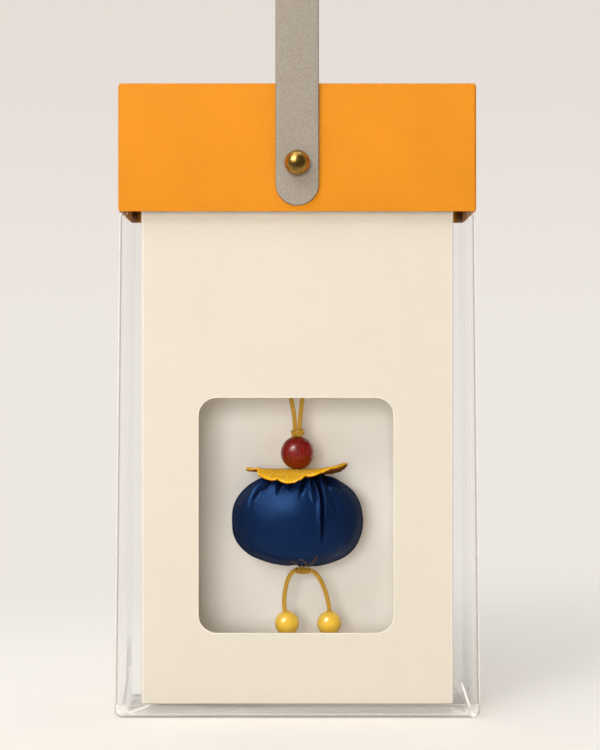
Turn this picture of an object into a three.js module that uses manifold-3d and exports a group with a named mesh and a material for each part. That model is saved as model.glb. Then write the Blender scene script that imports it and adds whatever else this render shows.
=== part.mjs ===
// A blessing sachet in its hanging gift pack, in millimetres, +Z up, the front facing -Y.
// The origin is the centre of the pouch's foot, on the surface that the pack stands on.
// A clear film pouch carries a card lid with a leather strap. Under the lid hangs a card box
// with a window, and in the box the sachet hangs from a peg on its own cord.
import * as THREE from 'three';
import { mergeVertices } from 'three/addons/utils/BufferGeometryUtils.js';
import Module from 'manifold-3d';

const wasm = await Module();
wasm.setup();

// Clearances that several pieces share
const seatGap = 0.3;
const cutOverrun = 2;
const stillGap = 0.2;

// Clear film pouch
const filmThickness = 0.5;
const pouchHeight = 217;
const pouchNeckWidth = 122.5;
const shoulderFlare = 0.9;
const footFlare = 2.65;
const shoulderSlope = 1.2;
const flangeWidth = 1.8;
const pouchCornerRadius = 3.1;
const gussetCornerRadius = 1.3;

// Card lid that slips over the pouch's mouth
const lidCard = 0.6;
const lidHeight = 44.4;
const lidHeadroom = 2.9;

// Ball studs, with their screws and washers
const ballRadius = 4.4;
const ballSeatRadius = 3.6;
const neckRadius = 2;
const neckBoreRadius = 1.4;
const screwShankRadius = 1.1;
const screwHeadRadius = 3.6;
const screwHeadThickness = 0.6;
const screwReach = 5.2;
const washerRadius = 5;
const washerThickness = 0.5;
const screwToFilmGap = 0.4;
const studDrop = 28.2;

// Leather strap
const strapWidth = 15;
const strapThickness = 1.6;
const strapRise = 67.6;
const strapTongue = 14.4;

// Card box with its window, and the tape that holds it in the lid
const boardThickness = 0.6;
const boxSideRoom = 4.35;
const boxFaceRoom = 2.4;
const boxLift = 4.2;
const windowWidth = 68.4;
const windowHeight = 82.2;
const windowSill = 25;
const windowCornerRadius = 7;
const tapeWidth = 90;
const tapeDepth = 24;
const tapeThickness = 0.8;

// Peg that the sachet hangs on
const pegDrop = 59.4;
const pegRadius = 2.2;
const pegReach = 4;
const pegHeadRadius = 4;
const pegHeadThickness = 1.5;
const pegFlangeRadius = 4.5;
const pegFlangeThickness = 1.2;
const pegWasherRadius = 4.6;
const pegWasherThickness = 1;

// Cord of the sachet, and its knots
const cordDiameter = 1.5;
const strandSpacing = 1.7;
const loopDrop = 59.8;
const topKnotWidth = 4.6;
const topKnotDepth = 3.8;
const topKnotHeight = 2.6;
const bottomKnotWidth = 4.6;
const bottomKnotDepth = 3.8;
const bottomKnotHeight = 2.6;
const bottomKnotOffset = 2;
const endKnotRadius = 1.7;
const endKnotBoreRadius = 0.95;
const tailLength = 3.4;

// Beads
const redBeadRadius = 6;
const redBoreRadius = 1.9;
const yellowBeadRadius = 4.4;
const yellowBoreRadius = 1.1;

// Felt collar under the red bead
const collarThickness = 0.9;
const collarWidth = 36.6;
const collarDepth = 29.6;
const collarHoleRadius = 1.95;
const collarFrontDroop = 3.4;
const collarBackDroop = 1.6;
const collarRightLift = 2.2;
const collarLeftLift = 0.8;
const collarScallopDepth = 0.7;
const collarScallops = 16;
const collarSides = 80;

// Stuffed body of the sachet
const coverWidth = 47.3;
const coverDepth = 29.6;
const coverRoom = 2.1;
const coverHeight = 33.6;
const coverFabric = 0.6;
const coverHoleRadius = 2.3;
const coverGrooveRadius = 3.5;
const coverGrooveDepth = 1;
const coverRimRadius = 4.8;
const coverPleatDepth = 1.3;
const coverPleats = 12;
const coverCreaseDepth = 2.2;
const coverCreasePlace = 8.9;
const coverCreaseFoot = 8;
const coverTopFullness = 2.25;
const coverBottomFullness = 2.45;
const fillingBoreRadius = 2;
const threadRadius = 0.35;
const threadRingRadius = 2.9;

// How finely round forms are cut
const roundSides = 24;
const cordSides = 8;
const coverSides = 48;

// Routes of the cords in the plane of the loop, point by point: across, and up from the peg's axis
const loopRoute = [
  [-0.85, -59.5], [-0.9, -57.6], [-1.3, -54], [-2.2, -49], [-3.1, -43], [-3.8, -35], [-4.1, -25],
  [-3.95, -15], [-3.6, -7], [-3.4, -2], [-3.2, 0.9], [-2.4, 2.4], [0, 3.35], [2.4, 2.4], [3.2, 0.9],
  [3.3, -2], [3.45, -7], [3.65, -15], [3.7, -25], [3.3, -35], [2.6, -43], [1.85, -49], [1.2, -54],
  [0.9, -57.6], [0.85, -59.5],
];
// Routes of the two legs: across from the loop's plane, and up from the peg's axis, down to the bead
const leftLegRoute = [
  [-0.62, -110.75], [-1.6, -111.25], [-2.7, -112.55], [-3.6, -114.6], [-4.25, -117.3], [-4.7, -120.6],
  [-4.72, -123.2],
];
const rightLegRoute = [
  [4.62, -110.75], [5.7, -111.2], [7, -112.3], [8.2, -114], [9.3, -116.2], [10.3, -118.9], [11, -121.7],
  [11.45, -124.2],
];
const leftBeadCentre = [-3.72, -129.7];
const rightBeadCentre = [11.45, -129.7];

// Places worked out from the sizes above. The sachet sets the card box's depth, the box sets
// the pouch's depth, and the pouch's neck sets the box's width.
const boxHalfDepth = Math.max(coverDepth, collarDepth) / 2 + coverRoom + boardThickness;
const panelInnerFace = boxHalfDepth + boxFaceRoom;
const pouchHalfDepth = panelInnerFace + filmThickness;
const boxHalfWidth = pouchNeckWidth / 2 - flangeWidth - filmThickness - boxSideRoom;
const lidTop = pouchHeight + lidHeadroom + lidCard;
const lidFoot = lidTop - lidHeight;
const shoulderHeight = lidFoot - stillGap;
const lidHalfWidth = pouchNeckWidth / 2 + seatGap + lidCard;
const lidInnerFace = pouchHalfDepth + screwToFilmGap + screwHeadThickness + washerThickness;
const lidHalfDepth = lidInnerFace + lidCard;
const studHeight = lidTop - studDrop;
const strapInnerFace = lidHalfDepth + seatGap;
const strapOuterFace = strapInnerFace + strapThickness;
const strapArchHeight = lidTop + strapRise - strapOuterFace;
const boxTop = lidTop - lidCard - tapeThickness;
const pegHeight = boxTop - pegDrop;
const cordRadius = cordDiameter / 2;
const topKnotCentre = pegHeight - loopDrop - topKnotHeight / 2;
const redBeadHalfLength = Math.sqrt(redBeadRadius ** 2 - redBoreRadius ** 2);
const redBeadCentre = topKnotCentre - topKnotHeight / 2 - seatGap - redBeadHalfLength;
const collarTop = redBeadCentre - redBeadHalfLength - seatGap;
const coverTop = collarTop - collarThickness - seatGap;
const coverFoot = coverTop - coverHeight;
const coverEquator = coverTop - coverHeight / 2;
const bottomKnotCentre = coverFoot - seatGap - bottomKnotHeight / 2;

const cardOrange = new THREE.MeshStandardMaterial({ color: 0xf6941f, roughness: 0.8 });
const cardCream = new THREE.MeshStandardMaterial({ color: 0xf2e9d8, roughness: 0.9 });
const cardWhite = new THREE.MeshStandardMaterial({ color: 0xece5dc, roughness: 0.9 });
const clearFilm = new THREE.MeshStandardMaterial({
  color: 0xeef2f3, roughness: 0.06, transparent: true, opacity: 0.25,
});
const greyLeather = new THREE.MeshStandardMaterial({ color: 0xa39a8f, roughness: 0.75 });
const agedBrass = new THREE.MeshStandardMaterial({ color: 0xa8883c, roughness: 0.3, metalness: 1 });
const steel = new THREE.MeshStandardMaterial({ color: 0xbfc1c4, roughness: 0.35, metalness: 1 });
const foam = new THREE.MeshStandardMaterial({ color: 0xf7f7f4, roughness: 0.95 });
const fibre = new THREE.MeshStandardMaterial({ color: 0x4a4542, roughness: 0.9 });
const pegPlastic = new THREE.MeshStandardMaterial({ color: 0xf4f1ea, roughness: 0.45 });
const goldCord = new THREE.MeshStandardMaterial({ color: 0xc8962e, roughness: 0.55, metalness: 0.3 });
const redWood = new THREE.MeshStandardMaterial({ color: 0x7d1a16, roughness: 0.3 });
const yellowFelt = new THREE.MeshStandardMaterial({ color: 0xe0a416, roughness: 0.95 });
const blueFabric = new THREE.MeshStandardMaterial({ color: 0x173562, roughness: 0.6 });
const herbs = new THREE.MeshStandardMaterial({ color: 0x8a7a4c, roughness: 1 });
const amberBead = new THREE.MeshStandardMaterial({ color: 0xe3ae36, roughness: 0.15 });

// Geometry helpers

function bare(geometry) {
  const plain = new THREE.BufferGeometry();
  plain.setAttribute('position', geometry.getAttribute('position'));
  if (geometry.index) plain.setIndex(geometry.index);
  return mergeVertices(plain);
}

function solid(geometry) {
  const merged = bare(geometry);
  return new wasm.Manifold(new wasm.Mesh({
    numProp: 3,
    vertProperties: Float32Array.from(merged.getAttribute('position').array),
    triVerts: Uint32Array.from(merged.index.array),
  }));
}

function geometryOf(manifold) {
  const mesh = manifold.getMesh();
  const geometry = new THREE.BufferGeometry();
  geometry.setAttribute('position', new THREE.BufferAttribute(mesh.vertProperties, mesh.numProp));
  geometry.setIndex(new THREE.BufferAttribute(mesh.triVerts, 1));
  return geometry;
}

// A shape drawn across and up, made into a plate from one depth to another
function plate(shape, front, back, curveSegments = roundSides / 4) {
  const geometry = new THREE.ExtrudeGeometry(shape, {
    depth: back - front, bevelEnabled: false, curveSegments,
  });
  return geometry.rotateX(Math.PI / 2).translate(0, back, 0);
}

// A shape drawn in depth and up, made as wide as asked, about the middle
function sideways(shape, width, curveSegments) {
  const geometry = new THREE.ExtrudeGeometry(shape, { depth: width, bevelEnabled: false, curveSegments });
  const turn = new THREE.Matrix4().makeBasis(
    new THREE.Vector3(0, 1, 0), new THREE.Vector3(0, 0, 1), new THREE.Vector3(1, 0, 0),
  );
  return geometry.applyMatrix4(turn).translate(-width / 2, 0, 0);
}

function block(left, right, front, back, low, high) {
  return new THREE.BoxGeometry(right - left, back - front, high - low)
    .translate((left + right) / 2, (front + back) / 2, (low + high) / 2);
}

// A cylinder along the depth
function bar(radius, front, back) {
  return new THREE.CylinderGeometry(radius, radius, back - front, roundSides)
    .translate(0, (front + back) / 2, 0);
}

// A turned form about an upright axis; the profile lists radius and height, anticlockwise
function turnedUpright(profile, sides = roundSides) {
  return turnedDeep(profile, sides).rotateX(Math.PI / 2);
}

// A turned form about an axis along the depth; the profile lists radius and depth, anticlockwise
function turnedDeep(profile, sides = roundSides) {
  return new THREE.LatheGeometry(profile.map(([radius, along]) => new THREE.Vector2(radius, along)), sides);
}

// A closed surface from rings of points, each ring closed and the last ring joined to the first
function ringed(rings) {
  const sides = rings[0].length;
  const positions = rings.flat(2);
  const index = [];
  rings.forEach((ring, i) => {
    const next = (i + 1) % rings.length;
    ring.forEach((point, j) => {
      const beside = (j + 1) % sides;
      const [a, b] = [i * sides + j, i * sides + beside];
      const [c, d] = [next * sides + j, next * sides + beside];
      index.push(a, c, b, b, c, d);
    });
  });
  const geometry = new THREE.BufferGeometry();
  geometry.setAttribute('position', new THREE.Float32BufferAttribute(positions, 3));
  geometry.setIndex(index);
  return geometry;
}

// A cord along a route in the loop's plane, given across and up from the peg's axis
function cordAlong(route, steps) {
  const points = route.map(([across, up]) => new THREE.Vector3(across, 0, pegHeight + up));
  const path = new THREE.CatmullRomCurve3(points, false, 'centripetal');
  const section = new THREE.Shape();
  for (let i = 0; i < cordSides; i += 1) {
    const angle = (i / cordSides) * 2 * Math.PI;
    section[i ? 'lineTo' : 'moveTo'](cordRadius * Math.cos(angle), cordRadius * Math.sin(angle));
  }
  section.closePath();
  return new THREE.ExtrudeGeometry(section, { steps, extrudePath: path, bevelEnabled: false });
}

// Clear film pouch

// The pouch's front view, drawn in by one inset at the sides and another at the foot. The lid
// slips over the neck and rests on the sloping shoulders.
function pouchOutline(sideInset, footInset, cornerRadius) {
  const neck = pouchNeckWidth / 2 - sideInset;
  const shoulder = neck + shoulderFlare;
  const corner = neck + footFlare - cornerRadius;
  const low = footInset + cornerRadius;
  const mouth = pouchHeight + (footInset ? cutOverrun : 0);
  const shape = new THREE.Shape();
  shape.moveTo(neck, mouth);
  shape.lineTo(-neck, mouth);
  shape.lineTo(-neck, shoulderHeight);
  shape.lineTo(-shoulder, shoulderHeight - shoulderSlope);
  shape.absarc(-corner, low, cornerRadius, Math.PI, 1.5 * Math.PI, false);
  shape.absarc(corner, low, cornerRadius, 1.5 * Math.PI, 2 * Math.PI, false);
  shape.lineTo(shoulder, shoulderHeight - shoulderSlope);
  shape.lineTo(neck, shoulderHeight);
  return shape;
}

function pouchPanel(front) {
  return plate(pouchOutline(0, 0, pouchCornerRadius), front, front + filmThickness);
}

// One strip of film makes both sides and the foot. Its edges turn out to flanges, which are
// welded to the panels.
function gusset() {
  const reach = panelInnerFace + cutOverrun;
  const outer = pouchOutline(flangeWidth, 0, gussetCornerRadius + filmThickness);
  const inner = pouchOutline(flangeWidth + filmThickness, filmThickness, gussetCornerRadius);
  const flange = pouchOutline(0, 0, pouchCornerRadius);
  const strip = solid(plate(outer, -panelInnerFace, panelInnerFace))
    .add(solid(plate(flange, -panelInnerFace, -panelInnerFace + filmThickness)))
    .add(solid(plate(flange, panelInnerFace - filmThickness, panelInnerFace)));
  return geometryOf(strip.subtract(solid(plate(inner, -reach, reach))));
}

// Card lid

function lid() {
  const shell = solid(block(-lidHalfWidth, lidHalfWidth, -lidHalfDepth, lidHalfDepth, lidFoot, lidTop));
  const room = solid(block(
    -lidHalfWidth + lidCard, lidHalfWidth - lidCard, -lidInnerFace, lidInnerFace,
    lidFoot - cutOverrun, lidTop - lidCard,
  ));
  return geometryOf(shell.subtract(room).subtract(studHole()));
}

// The hole for both studs, through lid and strap from front to back
function studHole() {
  const reach = strapOuterFace + cutOverrun;
  return solid(bar(neckRadius + seatGap, -reach, reach).translate(0, 0, studHeight));
}

// Ball studs. Each is turned about the depth, with the ball towards the front.

function stud() {
  const seat = -strapOuterFace - seatGap;
  const ballCentre = seat - Math.sqrt(ballRadius ** 2 - ballSeatRadius ** 2);
  const neckEnd = -lidInnerFace + washerThickness;
  const boreEnd = neckEnd - screwReach - seatGap;
  const seatAngle = Math.asin(ballSeatRadius / ballRadius);
  const ballSteps = roundSides / 3;
  const profile = [[0, ballCentre - ballRadius]];
  for (let i = 1; i <= ballSteps; i += 1) {
    const angle = (i / ballSteps) * (Math.PI - seatAngle);
    profile.push([ballRadius * Math.sin(angle), ballCentre - ballRadius * Math.cos(angle)]);
  }
  profile.push([neckRadius, seat], [neckRadius, neckEnd]);
  profile.push([neckBoreRadius, neckEnd], [neckBoreRadius, boreEnd]);
  profile.push([0, boreEnd]);
  return turnedDeep(profile);
}

function studScrew() {
  const headBack = -lidInnerFace + washerThickness + screwHeadThickness;
  const headFront = headBack - screwHeadThickness;
  const tip = headFront - screwReach;
  return turnedDeep([
    [0, tip], [screwShankRadius, tip], [screwShankRadius, headFront], [screwHeadRadius, headFront],
    [screwHeadRadius, headBack], [0, headBack],
  ]);
}

function ring(innerRadius, outerRadius, front, back) {
  return turnedDeep([
    [innerRadius, front], [outerRadius, front], [outerRadius, back], [innerRadius, back],
    [innerRadius, front],
  ]);
}

function studWasher() {
  return ring(neckRadius + seatGap, washerRadius, -lidInnerFace, -lidInnerFace + washerThickness);
}

// Leather strap: a band over the lid from stud to stud, with round ends

function strap() {
  const side = new THREE.Shape();
  const end = studHeight - strapTongue;
  side.moveTo(strapInnerFace, end);
  side.lineTo(strapOuterFace, end);
  side.lineTo(strapOuterFace, strapArchHeight);
  side.absarc(0, strapArchHeight, strapOuterFace, 0, Math.PI, false);
  side.lineTo(-strapOuterFace, end);
  side.lineTo(-strapInnerFace, end);
  side.lineTo(-strapInnerFace, strapArchHeight);
  side.absarc(0, strapArchHeight, strapInnerFace, Math.PI, 0, true);
  const band = solid(sideways(side, strapWidth, roundSides));
  const halfWidth = strapWidth / 2;
  const face = new THREE.Shape();
  face.absarc(0, end + halfWidth, halfWidth, Math.PI, 2 * Math.PI, false);
  face.lineTo(halfWidth, lidTop + strapRise + cutOverrun);
  face.lineTo(-halfWidth, lidTop + strapRise + cutOverrun);
  const reach = strapOuterFace + cutOverrun;
  const outline = solid(plate(face, -reach, reach, roundSides / 2));
  return geometryOf(band.intersect(outline).subtract(studHole()));
}

// Card box

function windowCard() {
  const inside = boardThickness;
  const back = boxHalfDepth - boardThickness;
  const shell = solid(block(-boxHalfWidth, boxHalfWidth, -boxHalfDepth, back, boxLift, boxTop));
  const room = solid(block(
    -boxHalfWidth + inside, boxHalfWidth - inside, -boxHalfDepth + inside, back + cutOverrun,
    boxLift + inside, boxTop - inside,
  ));
  const opening = solid(plate(
    roundedWindow(), -boxHalfDepth - cutOverrun, -boxHalfDepth + inside + cutOverrun,
  ));
  return geometryOf(shell.subtract(room).subtract(opening));
}

function roundedWindow() {
  const right = windowWidth / 2 - windowCornerRadius;
  const low = boxLift + windowSill + windowCornerRadius;
  const high = boxLift + windowSill + windowHeight - windowCornerRadius;
  const shape = new THREE.Shape();
  shape.absarc(right, low, windowCornerRadius, -Math.PI / 2, 0, false);
  shape.absarc(right, high, windowCornerRadius, 0, Math.PI / 2, false);
  shape.absarc(-right, high, windowCornerRadius, Math.PI / 2, Math.PI, false);
  shape.absarc(-right, low, windowCornerRadius, Math.PI, 1.5 * Math.PI, false);
  return shape;
}

function backingCard() {
  const front = boxHalfDepth - boardThickness;
  const sheet = solid(block(-boxHalfWidth, boxHalfWidth, front, boxHalfDepth, boxLift, boxTop));
  const hole = solid(bar(pegRadius + stillGap, front - cutOverrun, boxHalfDepth + cutOverrun)
    .translate(0, 0, pegHeight));
  return geometryOf(sheet.subtract(hole));
}

function tape() {
  const [halfWidth, halfDepth] = [tapeWidth / 2, tapeDepth / 2];
  return block(-halfWidth, halfWidth, -halfDepth, halfDepth, boxTop, boxTop + tapeThickness);
}

// The peg is turned about the depth: head, shaft, and a flange behind the backing card
function peg() {
  const headBack = -pegReach;
  const headFront = headBack - pegHeadThickness;
  const flangeFront = boxHalfDepth;
  const flangeBack = flangeFront + pegFlangeThickness;
  return turnedDeep([
    [0, headFront], [pegHeadRadius, headFront], [pegHeadRadius, headBack], [pegRadius, headBack],
    [pegRadius, flangeFront], [pegFlangeRadius, flangeFront], [pegFlangeRadius, flangeBack], [0, flangeBack],
  ]);
}

function pegWasher() {
  const back = boxHalfDepth - boardThickness;
  return ring(pegRadius + stillGap, pegWasherRadius, back - pegWasherThickness, back);
}

// Sachet

function knot(width, depth, height) {
  return new THREE.SphereGeometry(1, roundSides * 2 / 3, roundSides / 3)
    .rotateX(Math.PI / 2)
    .scale(width / 2, depth / 2, height / 2);
}

function bead(radius, boreRadius) {
  const halfLength = Math.sqrt(radius ** 2 - boreRadius ** 2);
  const start = Math.asin(boreRadius / radius);
  const steps = roundSides / 2;
  const profile = [];
  for (let i = 0; i <= steps; i += 1) {
    const angle = start + (i / steps) * (Math.PI - 2 * start);
    profile.push([radius * Math.sin(angle), -radius * Math.cos(angle)]);
  }
  profile.push([boreRadius, -halfLength]);
  return turnedUpright(profile);
}

// The two strands that run from the top knot through bead, collar and body to the bottom knot
function coreStrand(side) {
  const across = side * strandSpacing / 2;
  const down = (height) => height - pegHeight;
  return cordAlong([
    [across, down(topKnotCentre - topKnotHeight / 2 - seatGap)],
    [across, down(redBeadCentre)],
    [across, down(coverTop)],
    [across + bottomKnotOffset / 2, down(coverEquator)],
    [across + bottomKnotOffset, down(coverFoot)],
  ], roundSides / 2);
}

// How far the depth of the body falls short of its width, from a round neck to the flat equator
function flatness(radius) {
  const share = THREE.MathUtils.smoothstep(radius, coverRimRadius, coverWidth / 2);
  return 1 - (1 - coverDepth / coverWidth) * Math.sqrt(share);
}

// The bottom gather lies to one side, so the body's rings lean towards it near the foot
function lean(radius, height) {
  const share = (coverTop - height) / coverHeight;
  return bottomKnotOffset * share * (1 - 2 * radius / coverWidth);
}

function bodyRing(radius, height, dent = () => 0) {
  const points = [];
  for (let j = 0; j < coverSides; j += 1) {
    const angle = (j / coverSides) * 2 * Math.PI;
    const reach = radius - dent(angle);
    points.push([
      reach * Math.cos(angle) + lean(radius, height), reach * flatness(radius) * Math.sin(angle), height,
    ]);
  }
  return points;
}

// Rings down the outside of a body that is smaller than the cover by the inset
function bodyRings(inset, steps, dentAt = () => () => 0) {
  const [halfWidth, halfHeight] = [coverWidth / 2 - inset, coverHeight / 2 - inset];
  const start = Math.asin((coverRimRadius / halfWidth) ** (coverTopFullness / 2));
  const rings = [];
  for (let i = 0; i <= steps; i += 1) {
    const angle = start + (i / steps) * (Math.PI - 2 * start);
    const power = 2 / (angle < Math.PI / 2 ? coverTopFullness : coverBottomFullness);
    const radius = halfWidth * Math.sin(angle) ** power;
    const rise = Math.cos(angle);
    const height = coverEquator + Math.sign(rise) * halfHeight * Math.abs(rise) ** power;
    rings.push(bodyRing(radius, height, dentAt(rise)));
  }
  return rings;
}

// Pleats run from the neck to the equator, and shorter ones from the bottom gather. One deep
// crease runs down the front, right of the middle.
function pleatAt(rise) {
  const strength = rise > 0 ? rise * (1 - rise ** 6) : -rise * (1 - rise ** 6) / 2;
  const creaseAngle = 2 * Math.PI - Math.acos(2 * coverCreasePlace / coverWidth);
  const creaseFootRise = -2 * coverCreaseFoot / coverHeight;
  const crease = THREE.MathUtils.smoothstep(rise, creaseFootRise, 0) * (1 - rise ** 6);
  return (angle) => {
    const near = Math.max(0, 1 - Math.abs(angle - creaseAngle) * coverSides / (3 * Math.PI));
    const pleat = coverPleatDepth * strength * (0.5 + 0.5 * Math.cos(coverPleats * angle));
    return Math.max(pleat, coverCreaseDepth * crease * near);
  };
}

function cover() {
  const inset = coverFabric + coverCreaseDepth;
  const floor = coverTop - coverGrooveDepth;
  const lowFloor = coverFoot + coverFabric;
  return ringed([
    bodyRing(coverHoleRadius, floor),
    bodyRing(coverGrooveRadius, floor),
    ...bodyRings(0, 12, pleatAt),
    bodyRing(coverHoleRadius, lowFloor),
    bodyRing(coverHoleRadius, lowFloor + coverFabric),
    ...bodyRings(inset, 6).reverse(),
    bodyRing(coverHoleRadius, floor - coverFabric),
  ]);
}

function filling() {
  const inset = coverFabric + coverCreaseDepth + seatGap;
  return ringed([
    bodyRing(fillingBoreRadius, coverTop - coverGrooveDepth - inset),
    ...bodyRings(inset, 6),
    bodyRing(fillingBoreRadius, coverFoot + inset),
  ]);
}

function neckThread() {
  const profile = [];
  for (let i = 0; i <= cordSides; i += 1) {
    const angle = (i / cordSides) * 2 * Math.PI;
    profile.push([threadRingRadius + threadRadius * Math.cos(angle), threadRadius * Math.sin(angle)]);
  }
  return turnedUpright(profile);
}

// The collar is a scalloped disc with a hole. It droops in front and behind, and most a little
// left of the front; its two ends lift, the right one more.
function collarHeight(share, angle) {
  const deep = Math.sin(angle + Math.PI / 18);
  const sag = deep < 0 ? collarFrontDroop * (-deep) ** 1.5 : collarBackDroop * deep ** 1.5;
  const lift = Math.cos(angle) > 0 ? collarRightLift : collarLeftLift;
  return share ** 1.6 * (lift * Math.abs(Math.cos(angle)) ** 3 - sag);
}

function collarFace(height) {
  const steps = 5;
  const rings = [];
  for (let i = 0; i <= steps; i += 1) {
    const share = i / steps;
    const ring = [];
    for (let j = 0; j < collarSides; j += 1) {
      const angle = (j / collarSides) * 2 * Math.PI;
      const scallop = collarScallopDepth * share * (1 - Math.abs(Math.sin(collarScallops * angle / 2)));
      const across = collarHoleRadius + share * (collarWidth / 2 - collarHoleRadius) - scallop;
      const deep = collarHoleRadius + share * (collarDepth / 2 - collarHoleRadius) - scallop;
      ring.push([across * Math.cos(angle), deep * Math.sin(angle), height + collarHeight(share, angle)]);
    }
    rings.push(ring);
  }
  return rings;
}

function collar() {
  return ringed([...collarFace(collarTop), ...collarFace(collarTop - collarThickness).reverse()]);
}

// Which way a bead's bore points, from the end of its cord's free stretch to its centre
function boreDirection(route, centre) {
  const [across, up] = route[route.length - 1];
  return new THREE.Vector2(centre[0] - across, centre[1] - up).normalize();
}

// A leg runs on from its free stretch through the bead and the knot under it, to a short tail
function legCord(route, centre) {
  const direction = boreDirection(route, centre);
  const reach = yellowBeadRadius + 2 * endKnotRadius + tailLength;
  const end = [centre[0] + direction.x * reach, centre[1] + direction.y * reach];
  return cordAlong([...route, centre, end], roundSides * 2 / 3);
}

// Scene graph

const pack = new THREE.Group();

function add(parent, name, geometry, material, place = [0, 0, 0]) {
  const mesh = new THREE.Mesh(geometry, material);
  mesh.name = name;
  mesh.position.set(...place);
  parent.add(mesh);
  return mesh;
}

const pouch = new THREE.Group();
pack.add(pouch);
add(pouch, 'pouch_front_panel', pouchPanel(-pouchHalfDepth), clearFilm);
add(pouch, 'pouch_back_panel', pouchPanel(panelInnerFace), clearFilm);
add(pouch, 'pouch_gusset', gusset(), clearFilm);

const header = new THREE.Group();
pack.add(header);
add(header, 'header_lid', lid(), cardOrange);
add(header, 'mounting_tape', tape(), foam);
add(header, 'window_card', windowCard(), cardCream);
add(header, 'backing_card', backingCard(), cardWhite);
add(header, 'hanger_peg', peg(), pegPlastic, [0, 0, pegHeight]);
add(header, 'peg_washer', pegWasher(), pegPlastic, [0, 0, pegHeight]);

for (const [end, turn] of [['front', 0], ['rear', Math.PI]]) {
  const fastening = new THREE.Group();
  fastening.position.z = studHeight;
  fastening.rotation.z = turn;
  header.add(fastening);
  add(fastening, `${end}_stud`, stud(), agedBrass);
  add(fastening, `${end}_stud_screw`, studScrew(), steel);
  add(fastening, `${end}_stud_washer`, studWasher(), fibre);
}

add(pack, 'strap', strap(), greyLeather);

const sachet = new THREE.Group();
pack.add(sachet);
add(sachet, 'hanging_loop', cordAlong(loopRoute, 2 * roundSides), goldCord);
add(sachet, 'top_knot', knot(topKnotWidth, topKnotDepth, topKnotHeight), goldCord, [0, 0, topKnotCentre]);
add(sachet, 'core_strand_left', coreStrand(-1), goldCord);
add(sachet, 'core_strand_right', coreStrand(1), goldCord);
add(sachet, 'red_bead', bead(redBeadRadius, redBoreRadius), redWood, [0, 0, redBeadCentre]);
add(sachet, 'felt_collar', collar(), yellowFelt);
add(sachet, 'neck_thread', neckThread(), goldCord,
  [0, 0, coverTop - coverGrooveDepth + threadRadius + stillGap]);
add(sachet, 'sachet_cover', cover(), blueFabric);
add(sachet, 'herb_filling', filling(), herbs);
add(sachet, 'bottom_knot', knot(bottomKnotWidth, bottomKnotDepth, bottomKnotHeight), goldCord,
  [bottomKnotOffset, 0, bottomKnotCentre]);

for (const [side, route, centre] of [
  ['left', leftLegRoute, leftBeadCentre], ['right', rightLegRoute, rightBeadCentre],
]) {
  const leg = new THREE.Group();
  leg.position.set(centre[0], 0, pegHeight + centre[1]);
  const direction = boreDirection(route, centre);
  leg.rotation.y = -Math.atan2(direction.x, -direction.y);
  sachet.add(leg);
  add(sachet, `${side}_leg_cord`, legCord(route, centre), goldCord);
  add(leg, `${side}_bead`, bead(yellowBeadRadius, yellowBoreRadius), amberBead);
  add(leg, `${side}_end_knot`, bead(endKnotRadius, endKnotBoreRadius), goldCord,
    [0, 0, -yellowBeadRadius - endKnotRadius]);
}

export default pack;
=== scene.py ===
# %% [markdown]
# # A blessing sachet in its gift pack
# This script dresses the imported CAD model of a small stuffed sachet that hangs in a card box,
# under a card lid, in a clear film pouch. The CAD model gives every place and size. Here each
# piece gets the form and the finish that it has in the hand: braided cord, gathered satin,
# felt, folded card, film, leather, brass, wood and resin.

import math

import bmesh
import bpy
import numpy as np
from mathutils import Matrix, Vector, noise
from mathutils.kdtree import KDTree


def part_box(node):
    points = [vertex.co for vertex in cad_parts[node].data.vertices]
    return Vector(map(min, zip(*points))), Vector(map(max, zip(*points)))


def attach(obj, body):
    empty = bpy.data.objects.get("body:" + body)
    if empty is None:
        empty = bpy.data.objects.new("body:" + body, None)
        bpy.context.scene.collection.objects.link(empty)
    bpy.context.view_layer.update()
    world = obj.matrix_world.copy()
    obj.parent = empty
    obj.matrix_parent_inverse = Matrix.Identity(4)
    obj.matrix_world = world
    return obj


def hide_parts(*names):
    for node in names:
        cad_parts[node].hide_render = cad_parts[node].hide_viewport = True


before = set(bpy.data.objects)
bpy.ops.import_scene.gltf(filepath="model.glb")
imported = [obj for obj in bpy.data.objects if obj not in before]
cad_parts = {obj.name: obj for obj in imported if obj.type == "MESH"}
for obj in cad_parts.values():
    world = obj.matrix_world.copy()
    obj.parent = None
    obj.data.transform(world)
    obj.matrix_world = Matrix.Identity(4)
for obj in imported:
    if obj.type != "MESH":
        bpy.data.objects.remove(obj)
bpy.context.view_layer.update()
MM = 0.001
print("nodes:", len(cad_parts))

# %% [markdown]
# ## The camera
# The pack was seen from straight in front, with the eye a little over half its height, so
# the verticals stay upright. A long lens keeps the perspective calm.

# %% Set up the camera
CAMERA_PLACE = (0.00097, -0.6, 0.1193)
CAMERA_LENS = 80

camera = bpy.data.objects.new("camera", bpy.data.cameras.new("camera"))
bpy.context.scene.collection.objects.link(camera)
camera.location = CAMERA_PLACE
camera.rotation_euler = (math.radians(90), 0, 0)
camera.data.lens = CAMERA_LENS
camera.data.clip_start = 0.01
camera.data.clip_end = 50
bpy.context.scene.camera = camera
print("camera:", CAMERA_LENS, "mm lens at", CAMERA_PLACE)

# %% [markdown]
# ## Making meshes
# Every piece is worked out as points and faces in millimetres, the unit of the maker's
# drawing, and turned into metres in one place. Most pieces are a skin over rings of points:
# a bead's rings are circles, a box's are rounded rectangles, and a cord's follow its route.

# %% Points to pieces
MERGE = 1e-4


def box_mm(node):
    """The low and high corners of a CAD node, in millimetres."""
    low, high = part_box(node)
    return np.array(low) / MM, np.array(high) / MM


def middle(node):
    return sum(box_mm(node)) / 2


def size_of(node):
    low, high = box_mm(node)
    return high - low


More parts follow.
